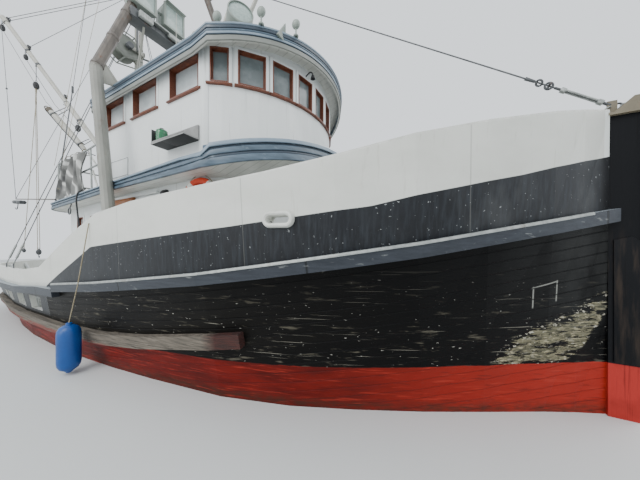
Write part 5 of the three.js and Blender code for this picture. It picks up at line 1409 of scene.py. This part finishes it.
# Screws at the feet of the shrouds, and halyards from the crosstree to the boat deck
SHROUD_FEET = ((-3.85, 2.643, 1.70), (-3.05, 2.674, 1.704))
HALYARDS = ((1.25, -2.22), (0.95, -1.72))  # place on the crosstree, place along the deck
for side, sign in SIDES:
    for number, (foot_x, foot_y, foot_z) in enumerate(SHROUD_FEET, 1):
        foot = Vector((foot_x, sign * foot_y, foot_z))
        pull = (foot - Vector((MAST_X, sign * 0.137, 10.05))).normalized()
        screw = joined(rod(foot - pull * 0.52, foot - pull * 0.16, 0.024, sides=16, bevel=0.005),
                       rod(foot - pull * 0.56, foot - pull * 0.50, 0.016, sides=12),
                       hoop(foot - pull * 0.06, pull.cross(Vector((1, 0, 0))), 0.030, 0.010, 18, 8))
        settle(screw, f"shroud_screw_{number}_{side}", GALVANISED)
    for number, (top_y, foot_x) in enumerate(HALYARDS, 1):
        halyard = rod((MAST_X, sign * top_y, 10.62), (foot_x, sign * 2.165, 4.26), 0.0045, sides=8)
        settle(halyard, f"halyard_{number}_{side}", ROPE)

# Forestay fittings: a turnbuckle above the stem eye and a shackle above that
STAY_TOP = Vector((-0.1, 0, 10.34))
STAY_FOOT = Vector((8.68, 0, 3.98))


def on_stay(share, aside=0.0):
    return STAY_TOP.lerp(STAY_FOOT, share) + ACROSS * aside


bars = [rod(on_stay(0.947, out), on_stay(0.988, out), 0.012, sides=10) for out in (-0.026, 0.026)]
ends = [rod(on_stay(a), on_stay(b), 0.036, sides=20, bevel=0.006) for a, b in ((0.944, 0.950), (0.985, 0.991))]
settle(joined(*bars, *ends), "stay_turnbuckle", GALVANISED)
jaws = [rod(on_stay(0.990), on_stay(0.9985), 0.017, sides=12), rod(on_stay(0.937), on_stay(0.947), 0.016, sides=12)]
settle(joined(*jaws), "stay_turnbuckle_screws", DARK_STEEL)
shackle = joined(hoop(on_stay(0.930), ACROSS, 0.045, 0.014, 24, 10),
                 hoop(on_stay(0.918), BOOM_UP, 0.040, 0.013, 24, 10),
                 rod(on_stay(0.900), on_stay(0.913), 0.024, 0.018, sides=16, bevel=0.004),
                 rod(on_stay(0.930, -0.075), on_stay(0.930, 0.075), 0.016, sides=12, bevel=0.003))
settle(shackle, "stay_shackles", DARK_STEEL)

# Lights, a vent, domes, braces and aerials on the roof
ROOF_FOOT_Z = 5.46
SEARCHLIGHT, BEAM_WAY = Vector((3.55, -1.42, 6.08)), (0.7, -0.5, 0.15)
for number, (x, y) in enumerate(((3.62, -1.93), (4.18, -1.56), (4.50, -1.05)), 1):
    z = roof_top(x)
    lamp = joined(rod((x, y, z - 0.01), (x, y, z + 0.13), 0.014, sides=12),
                  rod((x, y, z - 0.01), (x, y, z + 0.012), 0.045, sides=20, bevel=0.004),
                  globe((x, y, z + 0.20), 0.075, (1, 0.8, 1)))
    settle(lamp, f"roof_lamp_{number}", LAMP)
settle(prism([(-1.38, 5.60), (-1.16, 5.60), (-1.16, 5.95)], "X", 4.33, 4.37, 0.006), "roof_fin_vent", LAMP)
shield = turned([(0.0, 0.0), (0.12, 0.0), (0.12, 0.03), (0.105, 0.12), (0.105, 0.20), (0.08, 0.27), (0.04, 0.305),
                 (0, 0.31)], (3.05, -1.86, roof_top(3.05)))
settle(shield, "roof_small_dome", CREAM_STEEL)
post = rod((SEARCHLIGHT.x, SEARCHLIGHT.y, ROOF_FOOT_Z), (SEARCHLIGHT.x, SEARCHLIGHT.y, 5.86), 0.045, bevel=0.006)
drum = turned([(0, -0.22), (0.13, -0.20), (0.20, -0.10), (0.215, 0.0), (0.215, 0.20), (0.195, 0.21), (0.195, 0.17),
               (0, 0.17)], SEARCHLIGHT, BEAM_WAY)
settle(joined(post, drum), "searchlight", LAMP)
search_glass = turned([(0, 0.175), (0.19, 0.175), (0.19, 0.185), (0.10, 0.20), (0, 0.205)], SEARCHLIGHT, BEAM_WAY)
settle(search_glass, "searchlight_glass", LENS)
for number, y in enumerate((-1.35, -1.05), 1):
    brace = rod((2.6, y, ROOF_FOOT_Z), (3.35 + 0.2 * number, y - 0.1, 6.75), 0.035, sides=20, bevel=0.005)
    settle(brace, f"roof_brace_{number}", CREAM_STEEL)
radar = joined(rod((1.5, 0, ROOF_FOOT_Z), (1.5, 0, 6.5), 0.06, bevel=0.008),
               slab((1.25, -0.2, 6.5), (1.75, 0.2, 6.56), 0.01),
               turned([(0, 0), (0.30, 0), (0.32, 0.03), (0.32, 0.12), (0.26, 0.22), (0.12, 0.26), (0, 0.265)],
                      (1.5, 0, 6.56)))
settle(radar, "radar_dome", CREAM_STEEL)
for number, (x, y, top) in enumerate(((0.6, 1.5, 9.4), (2.2, 1.6, 8.6), (0.9, -0.9, 7.9)), 1):
    aerial = joined(rod((x, y, 5.465), (x, y, 5.62), 0.03, bevel=0.004),
                    rod((x, y, 5.6), (x, y, top), 0.011, 0.005, 10))
    settle(aerial, f"aerial_{number}", CREAM_STEEL)

# Doors: frames, slats and handles that move with them
DOOR_BOARDS = ((0.365, 0.445, 1.60, 3.14), (1.105, 1.185, 1.60, 3.14), (0.445, 1.105, 3.04, 3.14),
               (0.445, 1.105, 1.60, 1.74))
slats = [slab((x0, -1.972, z0), (x1, -1.936, z1), 0.004) for x0, x1, z0, z1 in DOOR_BOARDS]
for number in range(16):
    z = 1.765 + 0.08 * number
    slats.append(slab((0.450, -1.970, z), (1.100, -1.960, z + 0.066), 0.003))
settle(joined(*slats), "sliding_door_slats", DOOR_VARNISH, "sliding_door")
pull_bar = pipe([(0.42, -1.968, 2.20), (0.42, -1.992, 2.20), (0.42, -1.992, 2.42), (0.42, -1.968, 2.42)], 0.009, 10)
settle(pull_bar, "sliding_door_handle", BRONZE, "sliding_door")
DOOR_HALF = 0.34
for door, face_x, middle_y, low_z, high_z in (("aft_door", -2.0, 0.85, 0.91, 2.74),
                                              ("wheelhouse_door", -0.3, 0.0, 3.45, 5.18)):
    border = moulding(rectangle(2 * DOOR_HALF, high_z - low_z - 0.02),
                      [(0, 0), (0, 0.012), (-0.10, 0.012), (-0.11, 0)])
    placed(border, wall_frame((face_x, middle_y, (low_z + high_z) / 2), math.pi))
    bars = [slab((face_x - 0.010, middle_y - DOOR_HALF + 0.08, z),
                 (face_x + 0.001, middle_y + DOOR_HALF - 0.08, z + 0.09), 0.003)
            for z in (low_z + 0.62, low_z + 1.05)]
    settle(joined(border, *bars), f"{door}_frame", DOOR_VARNISH, door)
    knob_y, knob_z = middle_y - DOOR_HALF + 0.07, low_z + 0.93
    knob = joined(rod((face_x - 0.001, knob_y, knob_z), (face_x - 0.045, knob_y, knob_z), 0.012, sides=12),
                  globe((face_x - 0.055, knob_y, knob_z), 0.026, sides=16))
    settle(knob, f"{door}_knob", BRONZE, door)

# The rail is carried on to the gantry leg on each side
RAIL_Z, RAIL_Y = 4.26, -2.16
RAIL_RADIUS = 0.018
for side, sign in SIDES:
    bars = [rod((-0.76, sign * 2.16, z), (0.94, sign * (2.16 + 0.13), z), RAIL_RADIUS, sides=14)
            for z in (RAIL_Z, RAIL_Z - 0.43)]
    post = rod((0.02, sign * 2.19, deck_top(0.02) - 0.01), (0.02, sign * 2.21, RAIL_Z), RAIL_RADIUS, sides=14)
    settle(joined(*bars, post), f"side_rail_{side}", GALVANISED)

# Grey tarpaulin lashed to the starboard rail of the boat deck: gathered at the top, so that its folds run down
columns, rows = 90, 30
tarp_points, tarp_faces = [], []
for i in range(columns + 1):
    along = i / columns
    top_x, foot_x = -1.21 + 1.02 * along, -1.77 + 1.56 * along
    for j in range(rows + 1):
        drop = j / rows
        gather = 1 - 0.74 * drop
        fold = 0.052 * gather * (1 + math.sin(along * 30 + 2.6 * drop + 1.1 * math.sin(along * 7)))
        fold += 0.018 * (1 + math.sin(along * 11 - 6.0 * drop)) + 0.005 * math.sin(along * 31 + 9 * drop)
        tarp_points.append((top_x + (foot_x - top_x) * drop, RAIL_Y - 0.030 - 0.03 * math.sin(math.pi * drop) - fold,
                            RAIL_Z - 0.10 + 0.06 * along - (0.86 + 0.10 * along) * drop))
for i in range(columns):
    for j in range(rows):
        a = i * (rows + 1) + j
        tarp_faces.append((a, a + 1, a + rows + 2, a + rows + 1))
tarp = drawn(tarp_points, tarp_faces)
modify(tarp, "SOLIDIFY", thickness=0.004, offset=0.0)
tarp = settle(tarp, "boat_deck_tarpaulin", CANVAS, smooth=60)
ties = [hoop((x, RAIL_Y - 0.03, RAIL_Z - 0.025), (1, 0, 0), 0.062, 0.007, 20, 8)
        for x in (-1.15, -0.90, -0.62, -0.28)]
settle(joined(*ties), "tarpaulin_ties", ROPE)
bundle = pipe([(-2.0, -2.13, 3.33), (-1.7, -2.19, 3.36), (-1.3, -2.16, 3.35), (-0.9, -2.19, 3.38),
               (-0.6, -2.15, 3.37)], 0.050, 16, True)
settle(bundle, "rolled_canvas", BLIND)

# Odds on the rail: a ring, a strap, light tubes, and a thin pole with a hanging block
ring = joined(hoop((-0.96, -2.25, 2.98), ACROSS, 0.07, 0.012), rod((-0.96, -2.25, 3.03), (-0.96, -2.20, 3.22), 0.012))
settle(ring, "deck_edge_ring", DARK_STEEL)
strap = pipe([(-0.31, -2.18, 3.44), (-0.32, -2.30, 3.38), (-0.34, -2.33, 3.20), (-0.36, -2.30, 2.90),
              (-0.36, -2.26, 2.48)], 0.016, 10, True)
settle(strap, "black_strap", BLACK)
for number, (x0, z0, x1, z1) in enumerate(((-0.27, 4.22, 0.16, 3.84), (-0.10, 3.84, 0.12, 3.40)), 1):
    settle(rod((x0, -2.13, z0), (x1, -2.12, z1), RAIL_RADIUS, sides=14), f"rail_tube_{number}", WHITE)
settle(rod(POLE_FOOT, POLE_END, 0.016, 0.013, sides=12), "thin_pole", BROWN_STEEL)
POLE_WAY = (POLE_END - POLE_FOOT).normalized()


def by_pole(along, out, up):
    return POLE_END + POLE_WAY * along + Vector((0, out, up))


cheeks = [rod(by_pole(start - 0.38, out, -0.085), by_pole(start - 0.18, out, -0.085), 0.048, sides=18, bevel=0.018)
          for start in (0.0, 0.20) for out in (-0.024, 0.024)]
hook = pipe([by_pole(along, 0, up) for along, up in ((-0.12, -0.09), (-0.10, -0.24), (-0.03, -0.30), (0.03, -0.24))],
            0.010, 10, True)
settle(joined(*cheeks, hook), "pole_block", DARK_STEEL)

# Timber stanchions inside the bulwarks, found from where level rays meet each bulwark
STANCHIONS = (("aft", (-8.0, -7.2, -6.4, -5.6, -5.0, -4.25, -3.1, -2.0, -0.95)),
              ("forward", (-0.3, 0.5, 1.3, 2.1, 2.9, 3.7, 4.5, 5.3, 6.1, 6.9, 7.6)))
for side, sign in SIDES:
    for part, places in STANCHIONS:
        tree = BVHTree.FromObject(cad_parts[f"bulwark_{part}_{side}"], bpy.context.evaluated_depsgraph_get())
        posts = []
        for x in places:
            met = [tree.ray_cast(Vector((x, 0, 0.70 + 0.05 * step)), ACROSS * sign)[0] for step in range(70)]
            met = [point for point in met if point]
            inset = Vector((0, -sign * 0.022, 0))
            posts.append(rod(met[0] + inset, met[-1] + inset - rise(0.03), 0.048, sides=8, bevel=0.006))
        settle(joined(*posts), f"bulwark_stanchions_{part}_{side}", WALL)

# Rope and brakes of the deck winch
WINCH_X, WINCH_Z = -4.1, 1.2
ROPE_PITCH = 0.0245
wound = [(0.112, 0.0)]
for turn in range(28):
    low = 0.005 + ROPE_PITCH * turn
    wound += [(0.150, low), (0.163, low + 0.006), (0.163, low + 0.018), (0.150, low + ROPE_PITCH)]
wound.append((0.112, 0.70))
settle(turned(wound, (WINCH_X, -0.35, WINCH_Z), ACROSS, sides=40), "winch_rope", ROPE, "winch_rotor")
for side, sign in SIDES:
    settle(hoop((WINCH_X, sign * 0.3725, WINCH_Z), ACROSS, 0.272, 0.011, 40, 8), f"winch_brake_{side}", BLACK)
    lever = joined(rod((WINCH_X, sign * 0.42, 1.31), (-4.22, sign * 0.42, 1.68), 0.012, sides=12),
                   globe((-4.22, sign * 0.42, 1.69), 0.028, sides=16))
    settle(lever, f"winch_lever_{side}", DARK_STEEL)

# Chain and shackle of the anchor
CHAIN_START, CHAIN_END = Vector((6.12, 0.0, 2.625)), Vector((8.66, 0.0, 3.965))
LINK_PITCH = 0.074
chain_way = (CHAIN_END - CHAIN_START).normalized()
chain_count = round((CHAIN_END - CHAIN_START).length / LINK_PITCH)
links = []
for number in range(chain_count):
    middle = CHAIN_START.lerp(CHAIN_END, (number + 0.5) / chain_count)
    links.append(hoop(middle, ACROSS if number % 2 else chain_way.cross(ACROSS), 0.040, 0.010, 14, 6))
settle(joined(*links), "anchor_chain", GALVANISED)
settle(joined(hoop((8.735, 0, 3.95), ACROSS, 0.045, 0.012, 20, 8),
              rod((8.765, -0.05, 3.948), (8.765, 0.05, 3.948), 0.012, sides=12)), "anchor_shackle", DARK_STEEL)

# Caps, a cross bar and rope turns on the mooring bitts
BITTS_X, BITTS_Y = (-7.2, -6.8), 1.5
BITTS_CAP = ((0, 0), (0.094, 0), (0.102, 0.010), (0.102, 0.028), (0.088, 0.042), (0, 0.046))
for side, sign in SIDES:
    y = sign * BITTS_Y
    fittings = [turned(BITTS_CAP, (x, y, 1.236)) for x in BITTS_X]
    fittings.append(rod((-7.42, y, 1.12), (-6.58, y, 1.12), 0.022, sides=16, bevel=0.004))
    settle(joined(*fittings), f"bitts_caps_{side}", DARK_STEEL)
    turns = [hoop((x, y, 0.84 + 0.03 * turn), (0, 0, 1), 0.094, 0.014, 28, 8) for x in BITTS_X for turn in range(4)]
    settle(joined(*turns), f"bitts_rope_{side}", ROPE)

# Boards, straps and rings of the hatch cover
for number in range(5):
    low = -0.74 + 0.298 * number
    board = slab((-6.44, low, 1.070), (-4.96, low + 0.288, 1.084), 0.004)
    settle(board, f"hatch_board_{number + 1}", HATCH, "hatch_lid")
straps = [slab((x - 0.03, -0.745, 1.083), (x + 0.03, 0.745, 1.091), 0.002) for x in (-6.2, -5.2)]
rings = [hoop((-6.2, y, 1.105), ACROSS, 0.045, 0.010, 20, 8) for y in (-0.45, 0.45)]
settle(joined(*straps, *rings), "hatch_straps", DARK_STEEL, "hatch_lid")

# Bands and hinged cap of the stack, and anodes on the rudder
stack_top = joined(*[hoop((-1.4, 0.9, z), (0, 0, 1), 0.190, 0.012, 32, 8) for z in (4.3, 5.4, 6.2)],
                   turned([(0, 0), (0.205, 0), (0.205, 0.008), (0.06, 0.02), (0, 0.02)], (-1.36, 0.9, 6.44),
                          (-0.45, 0, 1)),
                   slab((-1.26, 0.86, 6.16), (-1.20, 0.94, 6.40), 0.006))
settle(stack_top, "stack_cap", DARK_STEEL)
for side, sign in SIDES:
    anodes = [slab((x, sign * 0.054 - 0.010, -1.25), (x + 0.18, sign * 0.054 + 0.010, -1.17), 0.004)
              for x in (-7.1, -6.8)]
    settle(joined(*anodes), f"rudder_anodes_{side}", GALVANISED, "rudder_body")

# The fender and its rope lie where their solids are
ROPE_RADIUS = 0.008
FENDER_X, FENDER_Y, FENDER_TOP = 1.11, -2.86, 0.87
ROPE_TOP = Vector((1.3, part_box("fender_rope")[1].y - ROPE_RADIUS, 2.56))
route = [ROPE_TOP, Vector((1.27, -2.8, 1.52)), Vector((FENDER_X, FENDER_Y, FENDER_TOP + 0.0003))]


def rope_route(points, count):
    """Points close together along straight runs, and the length of the runs."""
    runs = [(b - a).length for a, b in zip(points, points[1:])]
    total = sum(runs)
    made = []
    for i in range(count):
        reach = total * i / (count - 1)
        for (a, b), run in zip(zip(points, points[1:]), runs):
            if reach <= run + 1e-9:
                made.append(a.lerp(b, min(1.0, reach / run)))
                break
            reach -= run
    return made, total


rope_points, rope_length = rope_route(route, 25)
fender_line = round_curve("fender_line", rope_points, ROPE_RADIUS, 3)
fender_line.data.materials.append(ROPE.material)

fender_body = turned([(0, 0.03), (0.035, 0.032), (0.05, 0.05), (0.075, 0.075), (0.12, 0.105), (0.148, 0.16),
                      (0.155, 0.22), (0.155, 0.68), (0.148, 0.74), (0.12, 0.795), (0.075, 0.825), (0.045, 0.835),
                      (0.04, 0.865), (0.03, 0.87), (0, 0.87)], (FENDER_X, FENDER_Y, 0), sides=40)
settle(fender_body, "fender_body", VINYL)
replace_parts(fender_body, "fender")
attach(fender_line, "root")
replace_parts(fender_line, "fender_rope")

# Floor at the waterline
bpy.ops.mesh.primitive_plane_add(size=120, location=(0, 0, 0))
floor = bpy.context.object
floor.name = "floor"
paper = Finish("pale_floor", "wall_paint", 0.75)
paper.colour(paper.blend(paper.noise(0.4).ramp(0.5, 0.4), "c9cbca", "cfd1d0"))
floor.data.materials.append(paper.material)
